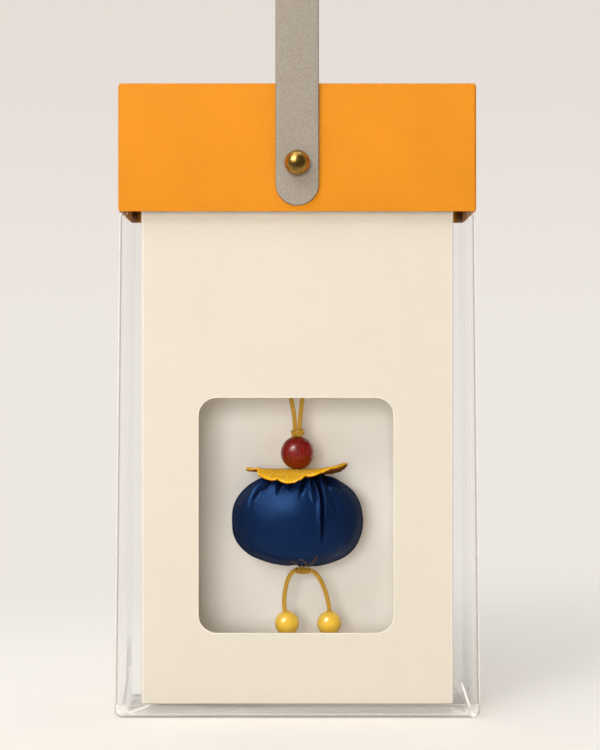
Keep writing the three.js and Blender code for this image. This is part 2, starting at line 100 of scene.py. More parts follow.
def new_object(name, shape):
    """An object from a shape: points in millimetres, faces and, for cloth and cord, a lay map."""
    points, faces, *lay = shape
    mesh = bpy.data.meshes.new(name)
    mesh.from_pydata([tuple(p) for p in np.asarray(points, float) * MM], [], [tuple(f) for f in faces])
    if lay:
        layer = mesh.uv_layers.new(name="lay")
        index = np.zeros(len(mesh.loops), int)
        mesh.loops.foreach_get("vertex_index", index)
        layer.data.foreach_set("uv", np.asarray(lay[0], float)[index].ravel())
    work = bmesh.new()
    work.from_mesh(mesh)
    bmesh.ops.remove_doubles(work, verts=work.verts, dist=MERGE * MM)
    bmesh.ops.recalc_face_normals(work, faces=work.faces)
    work.to_mesh(mesh)
    work.free()
    made = bpy.data.objects.new(name, mesh)
    bpy.context.scene.collection.objects.link(made)
    return made


def new_piece(name, shape, finish, body, node, sharp=40):
    """A finished piece that rides on a body and stands for a CAD node.

    Its one material slot holds the finish, whose name may carry the number that Blender adds
    because the frame's own materials have these names too.
    """
    piece = new_object(name, shape)
    piece.data.shade_smooth()
    piece.data.set_sharp_from_angle(angle=math.radians(sharp))
    piece.data.materials.append(finish)
    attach(piece, body)
    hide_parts(node)
    print(f"{name}: {len(piece.data.vertices)} points, {len(piece.data.polygons)} faces")
    return piece


def skin(rings, wrap=False, caps=False):
    """A shape over rings of points; wrap joins the last ring to the first."""
    sides, count = len(rings[0]), len(rings)
    faces = []
    for i in range(count if wrap else count - 1):
        a, b = i * sides, (i + 1) % count * sides
        faces += [(a + j, a + (j + 1) % sides, b + (j + 1) % sides, b + j) for j in range(sides)]
    if caps:
        faces.append(tuple(reversed(range(sides))))
        faces.append(tuple(range((count - 1) * sides, count * sides)))
    return np.vstack([np.asarray(r, float) for r in rings]), faces


def joined(*shapes):
    """Several shapes as one."""
    points, faces = [], []
    for shape in shapes:
        start = sum(len(p) for p in points)
        points.append(np.asarray(shape[0], float))
        faces += [tuple(i + start for i in f) for f in shape[1]]
    lay = [np.vstack([s[2] for s in shapes])] if len(shapes[0]) > 2 else []
    return (np.vstack(points), faces, *lay)


def softened(corners, radius, steps=4, closed=False):
    """A line of 2D corners with each inner corner turned on a small arc."""
    corners = [np.array(c, float) for c in corners]
    count, line = len(corners), []
    for i, corner in enumerate(corners):
        if not closed and i in (0, count - 1):
            line.append(corner)
            continue
        before, after = corners[i - 1] - corner, corners[(i + 1) % count] - corner
        reach = min(radius, 0.45 * np.linalg.norm(before), 0.45 * np.linalg.norm(after))
        start = corner + before / np.linalg.norm(before) * reach
        end = corner + after / np.linalg.norm(after) * reach
        line += [(1 - t) ** 2 * start + 2 * t * (1 - t) * corner + t ** 2 * end
                 for t in np.linspace(0, 1, steps + 1)]
    return np.array(line)


def turned(profile, sides=64, **ends):
    """A form turned about Z; the profile lists radius and height."""
    angles = np.linspace(0, 2 * math.pi, sides, endpoint=False)
    circle = np.column_stack([np.cos(angles), np.sin(angles)])
    return skin([np.insert(r * circle, 2, h, axis=1) for r, h in profile], **ends)


def moved(shape, place=(0, 0, 0), turn=None):
    """A shape turned by a matrix, then shifted."""
    points = np.asarray(shape[0], float)
    if turn is not None:
        points = points @ np.array(turn).T
    return (points + np.array(place, float), *shape[1:])


def painted(piece, places, **values):
    """Paints named values on a piece, taken from the nearest of the given places."""
    tree_of_places = KDTree(len(places))
    for i, place in enumerate(places):
        tree_of_places.insert(Vector(place) * MM, i)
    tree_of_places.balance()
    nearest = [tree_of_places.find(v.co)[1] for v in piece.data.vertices]
    for name, value in values.items():
        attribute = piece.data.attributes.new(name, "FLOAT", "POINT")
        attribute.data.foreach_set("value", np.asarray(value, np.float32).ravel()[nearest])


def smoothstep(value, low, high):
    t = np.clip((value - low) / (high - low), 0, 1)
    return t * t * (3 - 2 * t)


# A form turned about Z lies along the depth after this turn, its top towards the front
TO_FRONT = Matrix.Rotation(math.radians(90), 3, "X")
TO_REAR = Matrix.Rotation(math.radians(-90), 3, "X")


# %% [markdown]
# ## Colours and node groups
# Colours are written as they look on a screen and turned into the linear values that shaders
# use. An effect that several finishes share is a node group, built once: fine grain for card,
# leather and felt, a slow drift of tone for everything, and a haze of fine scratches for metal.

# %% Shader helpers
FLOAT, COLOUR = "NodeSocketFloat", "NodeSocketColor"


def screen(red, green, blue):
    """A screen colour, 0 to 255 a channel, as a linear colour."""
    shares = [c / 255 for c in (red, green, blue)]
    return (*(s / 12.92 if s <= 0.04045 else ((s + 0.055) / 1.055) ** 2.4 for s in shares), 1.0)


def put(tree, kind, links=None, **settings):
    """Adds a node, sets its properties, and fills its inputs from values or sockets."""
    made = tree.nodes.new(kind)
    for key, value in settings.items():
        setattr(made, key, value)
    for key, value in (links or {}).items():
        if isinstance(value, bpy.types.NodeSocket):
            tree.links.new(value, made.inputs[key])
        else:
            made.inputs[key].default_value = value
    return made


def feed(node, key, socket):
    node.id_data.links.new(socket, node.inputs[key])


def maths(operation, *values, clamp=False):
    """Works on sockets and numbers, in the tree that the sockets are in."""
    tree = next(v for v in values if isinstance(v, bpy.types.NodeSocket)).id_data
    links = dict(enumerate(values))
    return put(tree, "ShaderNodeMath", links, operation=operation, use_clamp=clamp).outputs[0]


def blend_colours(share, first, second):
    return put(share.id_data, "ShaderNodeMix", {0: share, 6: first, 7: second}, data_type="RGBA").outputs[2]


def ranged(value, low, high, to_low=0.0, to_high=1.0, kind="LINEAR"):
    """A value taken from one range to another, and held at its ends."""
    links = dict(enumerate((value, low, high, to_low, to_high)))
    return put(value.id_data, "ShaderNodeMapRange", links, interpolation_type=kind).outputs[0]


def wave(value, cycles, kind="SINE"):
    """A wave from -1 to 1, with so many cycles for each unit of the value."""
    return maths(kind, maths("MULTIPLY", value, 2 * math.pi * cycles))


def millimetres(tree, stretch=(1, 1, 1)):
    """Coordinates on the object, in millimetres, stretched along the axes."""
    where = put(tree, "ShaderNodeTexCoord").outputs["Object"]
    size = tuple(s / MM for s in stretch)
    return put(tree, "ShaderNodeVectorMath", {0: where, 1: size}, operation="MULTIPLY").outputs[0]


def noisy(tree, scale, detail, stretch=(1, 1, 1), **more):
    """Noise on the object, with its scale in patches a millimetre."""
    links = {"Vector": millimetres(tree, stretch), "Scale": scale, "Detail": detail}
    links.update({key.title(): value for key, value in more.items()})
    return put(tree, "ShaderNodeTexNoise", links).outputs["Fac"]


def new_group(name, takes, gives):
    """An empty node group: the group, what it takes, and the node that gives its results."""
    group = bpy.data.node_groups.new(name, "ShaderNodeTree")
    for label, kind, default in takes:
        group.interface.new_socket(label, in_out="INPUT", socket_type=kind).default_value = default
    for label, kind in gives:
        group.interface.new_socket(label, in_out="OUTPUT", socket_type=kind)
    print("group", name, "takes", [label for label, *_ in takes], "and gives", [label for label, _ in gives])
    return group, group.nodes.new("NodeGroupInput").outputs, group.nodes.new("NodeGroupOutput")


def grouped(tree, group, **values):
    """A group placed in a tree, with its own values."""
    links = {key.replace("_", " ").title(): value for key, value in values.items()}
    return put(tree, "ShaderNodeGroup", links, node_tree=group).outputs


# %% The tone drift group
drift, takes, gives = new_group(
    "tone_drift",
    [("Colour", COLOUR, (0.5, 0.5, 0.5, 1)), ("Patch Size", FLOAT, 20.0), ("Strength", FLOAT, 0.06)],
    [("Colour", COLOUR)],
)
cloud = noisy(drift, maths("DIVIDE", 1.0, takes["Patch Size"]), 3.0)
swing = maths("MULTIPLY_ADD", maths("SUBTRACT", cloud, 0.5), takes["Strength"], 1.0)
shifted = put(drift, "ShaderNodeVectorMath", {0: takes["Colour"], "Scale": swing}, operation="SCALE")
feed(gives, "Colour", shifted.outputs[0])

# %% The fine grain group
grain, takes, gives = new_group(
    "fine_grain",
    [("Grain Size", FLOAT, 0.5), ("Roughness", FLOAT, 0.6)],
    [("Height", FLOAT), ("Mask", FLOAT)],
)
fine = noisy(grain, maths("DIVIDE", 1.0, takes["Grain Size"]), 5.0, roughness=takes["Roughness"])
feed(gives, "Height", fine)
feed(gives, "Mask", ranged(fine, 0.4, 0.62))

# %% The scratches group
scratches, takes, gives = new_group("scratch_haze", [("Fineness", FLOAT, 1.5)], [("Mask", FLOAT)])
streaks, crossing = (noisy(scratches, takes["Fineness"], 4.0, stretch) for stretch in ((1, 1, 9), (7, 1, 1)))
feed(gives, "Mask", ranged(maths("MULTIPLY", streaks, crossing), 0.18, 0.36))


# %% Start a finish
def new_finish(name, roughness=0.6, **fixed):
    """A material with a Principled shader; fixed values go straight on its sockets."""
    material = bpy.data.materials.new(name)
    material.use_nodes = True
    shader = material.node_tree.nodes["Principled BSDF"]
    shader.inputs["Roughness"].default_value = roughness
    for key, value in fixed.items():
        shader.inputs[key.replace("_", " ").title().replace("Ior", "IOR")].default_value = value
    print("finish", name, "roughness", roughness, fixed)
    return material, material.node_tree, shader


def drifted(colour, patch, strength):
    """A colour with a slow drift of tone."""
    return grouped(colour.id_data, drift, colour=colour, patch_size=patch, strength=strength)["Colour"]


def bump(shader, height, distance):
    """Raises the surface by a height, over a distance in millimetres."""
    links = {"Height": height, "Distance": distance * MM, "Strength": 1.0}
    feed(shader, "Normal", put(shader.id_data, "ShaderNodeBump", links).outputs[0])


def mark(tree, name):
    """A value that is painted on the mesh."""
    return put(tree, "ShaderNodeAttribute", attribute_name=name).outputs["Fac"]


def lay_of(tree):
    """The two coordinates of a piece's lay map."""
    lay = put(tree, "ShaderNodeUVMap", uv_map="lay").outputs[0]
    return put(tree, "ShaderNodeSeparateXYZ", {0: lay}).outputs[:2]


# %% [markdown]
# ## Finishes
# Card is a matt colour with a fine tooth and soft clouds. Leather has a pebbled face and
# painted edges. Felt is a mass of short fibres, so it gets flecks and a rough height. The
# satin is a twill: fine slanting ribs that follow the cloth, laid out by its own lay map.

# %% Card finishes
# Painted highlight for the card's folds; at the window's cut edge, the card's white core and a painted
# highlight together
EDGE_LIGHT = screen(252, 248, 240)
PIT_SHARE = 0.93


def card_finish(name, colour, tooth, depth, clouds, patch, bounce=None):
    """Card; the bounce colour is how it looks to light that has already been on other card."""
    material, tree, shader = new_finish(name, roughness=0.82, specular_ior_level=0.3)
    teeth = grouped(tree, grain, grain_size=tooth, roughness=0.7)
    pit = tuple(c * PIT_SHARE for c in colour[:3]) + (1,)
    tone = drifted(blend_colours(teeth["Mask"], pit, colour), patch, clouds)
    # Folds and the window's cut edge are mixed towards the painted edge highlight
    tone = blend_colours(mark(tree, "edge_light"), tone, EDGE_LIGHT)
    if bounce:
        tone = blend_colours(put(tree, "ShaderNodeLightPath").outputs["Is Diffuse Ray"], tone, bounce)
    feed(shader, "Base Color", tone)
    bump(shader, teeth["Height"], depth)
    return material


ORANGE, CREAM, BACKING = screen(226, 141, 24), screen(221, 213, 198), screen(252, 248, 241)
WARM_BOUNCE = (0.985, 0.9, 0.77, 1)
orange_card = card_finish("orange_card", ORANGE, tooth=0.55, depth=0.22, clouds=0.18, patch=26)
cream_card = card_finish("cream_card", CREAM, tooth=0.4, depth=0.05, clouds=0.05, patch=30,
                         bounce=WARM_BOUNCE)
white_card = card_finish("white_card", BACKING, tooth=0.4, depth=0.05, clouds=0.04, patch=30,
                         bounce=WARM_BOUNCE)

# %% Leather finish
LEATHER, LEATHER_PIT, LEATHER_EDGE = screen(165, 156, 144), screen(140, 130, 118), screen(128, 119, 108)

leather, tree, shader = new_finish("grey_leather", roughness=0.62, specular_ior_level=0.35)
pebble = grouped(tree, grain, grain_size=0.45, roughness=0.75)
face_colour = blend_colours(pebble["Mask"], LEATHER_PIT, LEATHER)
edged = blend_colours(mark(tree, "edge_paint"), face_colour, LEATHER_EDGE)
feed(shader, "Base Color", drifted(edged, 14, 0.08))
bump(shader, pebble["Height"], 0.12)

# %% Felt finish
FELT, FELT_DEEP = screen(255, 200, 20), screen(244, 174, 10)
# The underside colour is painted shade under the collar
FELT_PALE, FELT_UNDER = screen(255, 232, 150), screen(136, 74, 4)
FLECK_SIZE, FLECK_SHARE = 0.9, 0.36

felt, tree, shader = new_finish("yellow_felt", roughness=0.95, specular_ior_level=0.2, sheen_weight=0.12,
                                sheen_roughness=0.5, sheen_tint=screen(255, 214, 110))
fibre = grouped(tree, grain, grain_size=0.45, roughness=0.8)
links = {"Vector": millimetres(tree), "Scale": 1 / FLECK_SIZE}
cells = put(tree, "ShaderNodeTexVoronoi", links).outputs["Distance"]
fleck = maths("MULTIPLY", maths("SUBTRACT", FLECK_SHARE, cells), 6.0, clamp=True)
matted = blend_colours(fibre["Mask"], FELT_DEEP, FELT)
flecked = blend_colours(maths("MULTIPLY", fleck, 0.8), matted, FELT_PALE)
feed(shader, "Base Color", drifted(blend_colours(mark(tree, "under_side"), flecked, FELT_UNDER), 6, 0.12))
bump(shader, maths("MULTIPLY_ADD", maths("SUBTRACT", 1.0, cells), 0.5, fibre["Height"]), 0.3)

# %% Satin finish
# The third colour is painted shade for the creases
SATIN_DEEP, SATIN_LIT, SATIN_FOLD = screen(2, 7, 22), screen(26, 58, 118), screen(2, 5, 14)
TWILL_RIB, TWILL_FLOAT = 0.56, 0.9

satin, tree, shader = new_finish("blue_satin", roughness=0.36, specular_ior_level=0.7,
                                 specular_tint=(0.14, 0.38, 1.0, 1))
around, down = lay_of(tree)
ribs = maths("MULTIPLY_ADD", wave(maths("ADD", around, down), 1 / (TWILL_RIB * math.sqrt(2))), 0.5, 0.5)
float_mark = wave(maths("SUBTRACT", around, down), 1 / TWILL_FLOAT)
slubs = grouped(tree, grain, grain_size=0.35, roughness=0.7)
shine = maths("MULTIPLY", ribs, maths("MULTIPLY_ADD", float_mark, 0.3, slubs["Mask"]))
woven = drifted(blend_colours(shine, SATIN_DEEP, SATIN_LIT), 7, 0.25)
# Painted shade in the creases and at the neck, from the painted fold value
feed(shader, "Base Color", blend_colours(mark(tree, "fold"), woven, SATIN_FOLD))
facing = put(tree, "ShaderNodeLayerWeight", {"Blend": 0.5}).outputs["Facing"]
feed(shader, "Roughness", maths("MULTIPLY_ADD", slubs["Mask"], -0.08, ranged(facing, 0.4, 0.85, 0.34, 1.0)))
bump(shader, maths("MULTIPLY_ADD", slubs["Height"], 0.8, ribs), 0.045)

# %% Cord finish
# The deep colour is painted shade between the yarns; the lit one is a painted sheen on the filaments
CORD, CORD_DEEP, CORD_LIT = screen(250, 180, 42), screen(70, 34, 4), screen(255, 226, 120)

cord_gold, tree, shader = new_finish("gold_cord", roughness=0.32, metallic=0.2, specular_ior_level=0.4,
                                     specular_tint=screen(255, 220, 130))
around, along = lay_of(tree)
turns = maths("MULTIPLY_ADD", around, 5.0, maths("MULTIPLY", along, 4.5))
filament = maths("MULTIPLY_ADD", wave(turns, 1), 0.5, 0.5)
# Painted shade: each yarn is darker at its sides and where it passes under the next, lighter on its crown
way = maths("MULTIPLY_ADD", maths("GREATER_THAN", around, 1.5), -2.0, 1.0)
over = ranged(maths("MULTIPLY", way, wave(along, 4, "COSINE")), -0.7, 0.4)
raised = ranged(wave(around, 1), 0.5, 1.0)
gapped = blend_colours(maths("MULTIPLY", raised, over), CORD_DEEP, blend_colours(filament, CORD, CORD_LIT))
glint = maths("MULTIPLY", grouped(tree, grain, grain_size=0.18, roughness=0.6)["Mask"], 0.35)
feed(shader, "Base Color", drifted(blend_colours(glint, gapped, CORD), 3, 0.2))
bump(shader, filament, 0.05)

# %% Bead finishes
# Below a level line the red bead is painted amber: a painted reflection of the yellow felt collar under it
WOOD_RED, WOOD_DARK = screen(142, 10, 8), screen(100, 5, 5)
WOOD_AMBER, WOOD_AMBER_DARK = screen(138, 30, 4), screen(104, 16, 3)
WOOD_LINE, WOOD_LINE_SOFT = 90.6, 0.35

red_wood, tree, shader = new_finish("red_wood", roughness=0.5, specular_ior_level=0.2, coat_weight=1.0,
                                    coat_roughness=0.24, coat_ior=1.5)
pores = noisy(tree, 1.1, 5.0, (1, 1, 0.25), distortion=0.6)
ringed = ranged(pores, 0.35, 0.65)
upper = blend_colours(ringed, WOOD_DARK, WOOD_RED)
lower = blend_colours(ringed, WOOD_AMBER_DARK, WOOD_AMBER)
level = put(tree, "ShaderNodeSeparateXYZ", {0: millimetres(tree)}).outputs["Z"]
above = ranged(level, WOOD_LINE - WOOD_LINE_SOFT, WOOD_LINE + WOOD_LINE_SOFT)
feed(shader, "Base Color", drifted(blend_colours(above, lower, upper), 2.5, 0.25))
bump(shader, pores, 0.02)

RESIN, RESIN_CLOUD = screen(250, 194, 46), screen(255, 214, 80)
amber, tree, shader = new_finish("amber_resin", roughness=0.5, coat_weight=1.0, coat_roughness=0.04,
                                 subsurface_weight=0.35, subsurface_scale=0.0012,
                                 subsurface_radius=(1.0, 0.6, 0.2))
swirl = noisy(tree, 0.35, 3.0, (0.6, 0.6, 1.4), distortion=2.2)
feed(shader, "Base Color", drifted(blend_colours(swirl, RESIN, RESIN_CLOUD), 4, 0.15))


# %% Metal, plastic, washer, foam and herb finishes
def metal_finish(name, colour, worn, roughness, cover):
    material, tree, shader = new_finish(name, roughness=roughness, metallic=1.0)
    patina = grouped(tree, grain, grain_size=1.6, roughness=0.7)
    feed(shader, "Base Color", blend_colours(maths("MULTIPLY", patina["Mask"], cover), colour, worn))
    hazy = grouped(tree, scratches, fineness=1.2)["Mask"]
    feed(shader, "Roughness", maths("MULTIPLY_ADD", hazy, 0.12, roughness))
    bump(shader, patina["Height"], 0.015)
    return material


def plain_finish(name, colour, other, size, roughness, depth):
    material, tree, shader = new_finish(name, roughness=roughness)
    tooth = grouped(tree, grain, grain_size=size, roughness=0.7)
    feed(shader, "Base Color", blend_colours(tooth["Mask"], other, colour))
    bump(shader, tooth["Height"], depth)
    return material


aged_brass = metal_finish("aged_brass", screen(190, 152, 78), screen(120, 88, 40), roughness=0.24, cover=0.6)
screw_steel = metal_finish("screw_steel", screen(196, 198, 201), screen(150, 150, 150), roughness=0.3,
                           cover=0.4)
peg_plastic = plain_finish("peg_plastic", screen(246, 243, 236), screen(238, 235, 228), 1.2, 0.38, 0.01)
fibre_board = plain_finish("fibre_washer", screen(78, 73, 69), screen(58, 54, 51), 0.3, 0.9, 0.05)
foam = plain_finish("foam_tape", screen(248, 248, 244), screen(226, 226, 220), 0.35, 0.95, 0.15)
herb_leaf = plain_finish("dried_herbs", screen(150, 136, 86), screen(96, 82, 48), 0.8, 1.0, 0.4)

# %% Film finish
# Clear film only dims a little what is behind it, because its gloss shows a dark room. It shows
# itself where it is seen edge-on, folded, welded or pinched. Those places are painted on the
# meshes as three values, each with its colour and how much it covers: a grey haze on the welds,
# painted dark lines of shade on the edges and creases, and painted highlights on the creases,
# the pinches and the foot
FILM_DIM, FILM_OPACITY, FILM_MARK_GAIN = (0, 0, 0, 1), 0.01, 5.0
FILM_MARKS = [("film_haze", screen(186, 181, 176), 0.14), ("film_line", screen(148, 144, 140), 0.6),
              ("film_glint", screen(255, 250, 244), 0.75)]

film, tree, shader = new_finish("clear_film", roughness=0.05, specular_ior_level=0.5)
tone, cover = FILM_DIM, FILM_OPACITY
for name, colour, cover_share in FILM_MARKS:
    seen = mark(tree, name)
    tone = blend_colours(maths("MULTIPLY", seen, FILM_MARK_GAIN, clamp=True), tone, colour)
    cover = maths("MULTIPLY_ADD", seen, cover_share, cover, clamp=True)
feed(shader, "Base Color", tone)
feed(shader, "Alpha", cover)

# %% [markdown]
# ## Braided cord
# The sachet hangs on a gold cord of 1.5 mm. It is a round braid: eight yarns, four winding
# one way and four the other, each passing over one yarn and under the next. A plain tube with
# a pattern would look printed, so every yarn is a small tube of its own. The routes are those
# of the CAD cords, in the plane of the loop, measured from the peg's axis.

# %% Routes of the cords
LOOP_ROUTE = [
    (-0.85, -59.5), (-0.9, -57.6), (-1.3, -54), (-2.2, -49), (-3.1, -43), (-3.8, -35), (-4.1, -25),
    (-3.95, -15), (-3.6, -7), (-3.4, -2), (-3.2, 0.9), (-2.4, 2.4), (0, 3.35), (2.4, 2.4), (3.2, 0.9),
    (3.3, -2), (3.45, -7), (3.65, -15), (3.7, -25), (3.3, -35), (2.6, -43), (1.85, -49), (1.2, -54),
    (0.9, -57.6), (0.85, -59.5),
]
LEFT_LEG_ROUTE = [
    (-0.62, -110.75), (-1.6, -111.25), (-2.7, -112.55), (-3.6, -114.6), (-4.25, -117.3), (-4.7, -120.6),
    (-4.72, -123.2),
]
RIGHT_LEG_ROUTE = [
    (4.62, -110.75), (5.7, -111.2), (7, -112.3), (8.2, -114), (9.3, -116.2), (10.3, -118.9), (11, -121.7),
    (11.45, -124.2),
]
PEG_HEIGHT = middle("hanger_peg")[2]
CORD_DIAMETER, LEG_TAIL = 1.5, 3.4
print("the peg's axis is", round(PEG_HEIGHT, 2), "mm up")


def route_points(route):
    """A route as points in space, in the plane of the loop."""
    return np.array([(across, 0, PEG_HEIGHT + up) for across, up in route], float)


def smooth_path(points, step):
    """A centripetal Catmull-Rom curve through the points, cut into even steps."""
    points = np.asarray(points, float)
    first, last = 2 * points[0] - points[1], 2 * points[-1] - points[-2]
    ext = np.vstack([first, points, last])
    fine = []
    for p0, p1, p2, p3 in zip(ext, ext[1:], ext[2:], ext[3:]):
        d0, d1, d2 = (np.linalg.norm(b - a) ** 0.5 for a, b in ((p0, p1), (p1, p2), (p2, p3)))
        m1 = ((p1 - p0) / d0 - (p2 - p0) / (d0 + d1) + (p2 - p1) / d1) * d1
        m2 = ((p2 - p1) / d1 - (p3 - p1) / (d1 + d2) + (p3 - p2) / d2) * d1
        for t in np.linspace(0, 1, 40, endpoint=False):
            fine.append((2 * t**3 - 3 * t**2 + 1) * p1 + (t**3 - 2 * t**2 + t) * m1
                        + (3 * t**2 - 2 * t**3) * p2 + (t**3 - t**2) * m2)
    fine.append(points[-1])
    return even_steps(np.array(fine), step)


def distances(points):
    """How far along a line each of its points is."""
    return np.concatenate([[0], np.cumsum(np.linalg.norm(np.diff(points, axis=0), axis=1))])


def even_steps(points, step):
    """A line of points cut again into even steps."""
    points = np.asarray(points, float)
    along = distances(points)
    stations = np.linspace(0, along[-1], max(2, round(along[-1] / step)) + 1)
    return np.column_stack([np.interp(stations, along, points[:, k]) for k in range(3)])


# %% Frames along a path, tubes and braids
def frames_along(points):
    """At each point of a path: its direction and two directions across, without twist."""
    ahead = np.gradient(points, axis=0)
    ahead /= np.linalg.norm(ahead, axis=1)[:, None]
    seed = np.array([0, 1.0, 0]) if abs(ahead[0][1]) < 0.9 else np.array([1.0, 0, 0])
    side = seed - ahead[0] * (seed @ ahead[0])
    sides = [side / np.linalg.norm(side)]
    for direction in ahead[1:]:
        side = sides[-1] - direction * (sides[-1] @ direction)
        sides.append(side / np.linalg.norm(side))
    sides = np.array(sides)
    return ahead, sides, np.cross(ahead, sides)


def tube(points, wide, thick, outward=None, sides=6):
    """A tube along points, wide across and thick along outward, with its lay map."""
    ahead, side, other = frames_along(points)
    if outward is not None:
        other = outward - ahead * (outward * ahead).sum(1)[:, None]
        other /= np.linalg.norm(other, axis=1)[:, None]
        side = np.cross(other, ahead)
    angles = np.linspace(0, 2 * math.pi, sides, endpoint=False)
    rings = [p + np.outer(np.cos(angles) * wide / 2, s) + np.outer(np.sin(angles) * thick / 2, o)
             for p, s, o in zip(points, side, other)]
    around = np.tile(np.arange(sides) / sides, len(points))
    return (*skin(rings, caps=True), np.column_stack([around, 0 * around]))


YARNS_EACH_WAY = 4
BRAID_PITCH, BRAID_STEP = 2.8, 0.15
FULLNESS, YARN_THICK, YARN_WIDE, YARN_SWAY, CORE_THICK = 1.05, 0.5, 0.72, 0.14, 0.5


def braid(path, diameter=CORD_DIAMETER, pitch=BRAID_PITCH, sides=8):
    """A round braid along an evenly stepped path: eight yarns over a core.

    The lay map holds the share round each yarn, 2 more for the yarns that wind the other way,
    and the turns along.
    """
    radius = FULLNESS * diameter / 2
    thick, wide, sway = YARN_THICK * radius, YARN_WIDE * radius, YARN_SWAY * radius
    ahead, side, other = frames_along(path)
    along = distances(path)
    turn = 2 * math.pi * along / pitch
    yarns = [tube(path[::3], diameter * CORE_THICK, diameter * CORE_THICK, sides=8)]
    for way in (1, -1):
        for k in range(YARNS_EACH_WAY):
            angle = way * turn + 2 * math.pi * k / YARNS_EACH_WAY
            out = np.cos(angle)[:, None] * side + np.sin(angle)[:, None] * other
            lift = radius - thick / 2 - 0.3 * sway + way * sway * np.cos(YARNS_EACH_WAY * turn)
            points, faces, lay_map = tube(path + out * lift[:, None], wide, thick, outward=out, sides=sides)
            lay_map += np.column_stack([np.full(len(points), 1.0 - way), np.repeat(along / pitch, sides)])
            yarns.append((points, faces, lay_map))
    return joined(*yarns)


loop_path = smooth_path(route_points(LOOP_ROUTE), BRAID_STEP)
loop = new_piece("hanging_loop_cord", braid(loop_path), cord_gold, "sachet", "hanging_loop")


# %% Make the legs, with their knots
KNOT_RADIUS, KNOT_PITCH = 1.7, 2.2
END_KNOT = dict(spread=0.98, sway=0.25, rise=0.85, thickness=0.95)


def leg_path(route, bead):
    """A leg's free stretch, then straight on through the bead and the knot to the tail."""
    points, centre = route_points(route), middle(bead)
    centre[1] = 0
    direction = (centre - points[-1]) / np.linalg.norm(centre - points[-1])
    bead_radius = size_of(bead)[1] / 2
    end = centre + direction * (bead_radius + 2 * KNOT_RADIUS + LEG_TAIL)
    knot_centre = centre + direction * (bead_radius + KNOT_RADIUS)
    return smooth_path(np.vstack([points, centre, end]), BRAID_STEP), direction, knot_centre


def overhand_knot(spread, sway, rise, thickness, steps=150):
    """A tied knot about Z: a trefoil of cord that passes over and under itself."""
    t = np.linspace(0, 2 * math.pi, steps, endpoint=False)
    reach = spread + sway * np.cos(3 * t)
    line = np.column_stack([reach * np.cos(2 * t), reach * np.sin(2 * t), rise * np.sin(3 * t)])
    return braid(even_steps(np.vstack([line, line[:2]]), BRAID_STEP), thickness, KNOT_PITCH)


def upright_to(direction):
    """The turn that takes Z to a direction."""
    return Vector((0, 0, 1)).rotation_difference(Vector(direction)).to_matrix()


legs = {}
for hand, route in (("left", LEFT_LEG_ROUTE), ("right", RIGHT_LEG_ROUTE)):
    path, direction, knot_centre = leg_path(route, f"{hand}_bead")
    leg = new_piece(f"{hand}_leg_braid", braid(path), cord_gold, f"{hand}_leg", f"{hand}_leg_cord")
    tied = moved(overhand_knot(**END_KNOT), knot_centre, upright_to(-direction))
    knot = new_piece(f"{hand}_end_knot_tied", tied, cord_gold, f"{hand}_leg", f"{hand}_end_knot")
    legs[hand] = (leg, knot, path, direction)

# %% [markdown]
# ## Beads
# All three beads are turned: a ball with a small flat and a softened rim round the bore at
# each end. The red one is lacquered wood, its lower part painted with a reflection of the
# yellow felt collar; the yellow ones are cloudy resin.

# %% Turn the beads
RED_BORE, YELLOW_BORE = 1.9, 1.1
BEAD_FLAT, RIM_STEPS = 0.22, ((0.1, 0.01), (0, 0.14))


def bead_profile(radius, bore):
    """Radius and height round a bored ball, from the lower rim up, then down the bore."""
    start = math.asin((bore + BEAD_FLAT) / radius)
    ball = [(radius * math.sin(a), -radius * math.cos(a)) for a in np.linspace(start, math.pi - start, 41)]
    top = math.sqrt(radius ** 2 - bore ** 2)
    rim = [(bore + out, top - down) for out, down in RIM_STEPS]
    return ball + rim + [(r, -h) for r, h in reversed(rim)] + [ball[0]]


def turned_bead(node, bore, finish, tilt=None):
    shape = turned(bead_profile(size_of(node)[1] / 2, bore), sides=72)
    return new_piece(f"{node}_turned", moved(shape, middle(node), tilt), finish, node, node)


turned_bead("red_bead", RED_BORE, red_wood)
for hand, (leg, knot, path, direction) in legs.items():
    bead = turned_bead(f"{hand}_bead", YELLOW_BORE, amber, upright_to(-direction))

# %% [markdown]
# ## Knots and threads on the sachet
# Above the red bead both strands are tied in one knot. Inside, they run on through the collar
# and the filling. Below, a thread is wound round the place where the two legs leave, and a
# finer one holds the gathered neck. Both windings are one line of thread, turn beside turn.

# %% Tie the top knot
TILT = Matrix.Rotation(math.radians(-12), 3, "Y")
KNOT_DROP, STUB = 0.2, 0.3
TOP_KNOT = dict(spread=1.42, sway=0.46, rise=0.72, thickness=1.4)
knot_centre = middle("top_knot") - (0, 0, KNOT_DROP)
stubs = [braid(even_steps([(x, 0, loop_path[0][2] + STUB), (x, 0, knot_centre[2])], BRAID_STEP))
         for x in (loop_path[0][0], loop_path[-1][0])]
tied = joined(moved(overhand_knot(**TOP_KNOT), knot_centre, TILT), *stubs)
new_piece("top_knot_tied", tied, cord_gold, "sachet", "top_knot")

# %% Run the inner strands and wind the neck thread
for hand in ("left", "right"):
    low, high = box_mm(f"core_strand_{hand}")
    top = np.array([low[0] + CORD_DIAMETER / 2, 0, high[2]])
    foot = np.array([high[0] - CORD_DIAMETER / 2, 0, low[2]])
    line = [top, top + (0, 0, -13), (top + foot) / 2 + (-0.3, 0, 4), foot + (-0.4, 0, 9), foot]
    new_piece(f"core_strand_{hand}_braid", braid(smooth_path(line, 0.3), sides=6), cord_gold, "sachet",
              f"core_strand_{hand}")

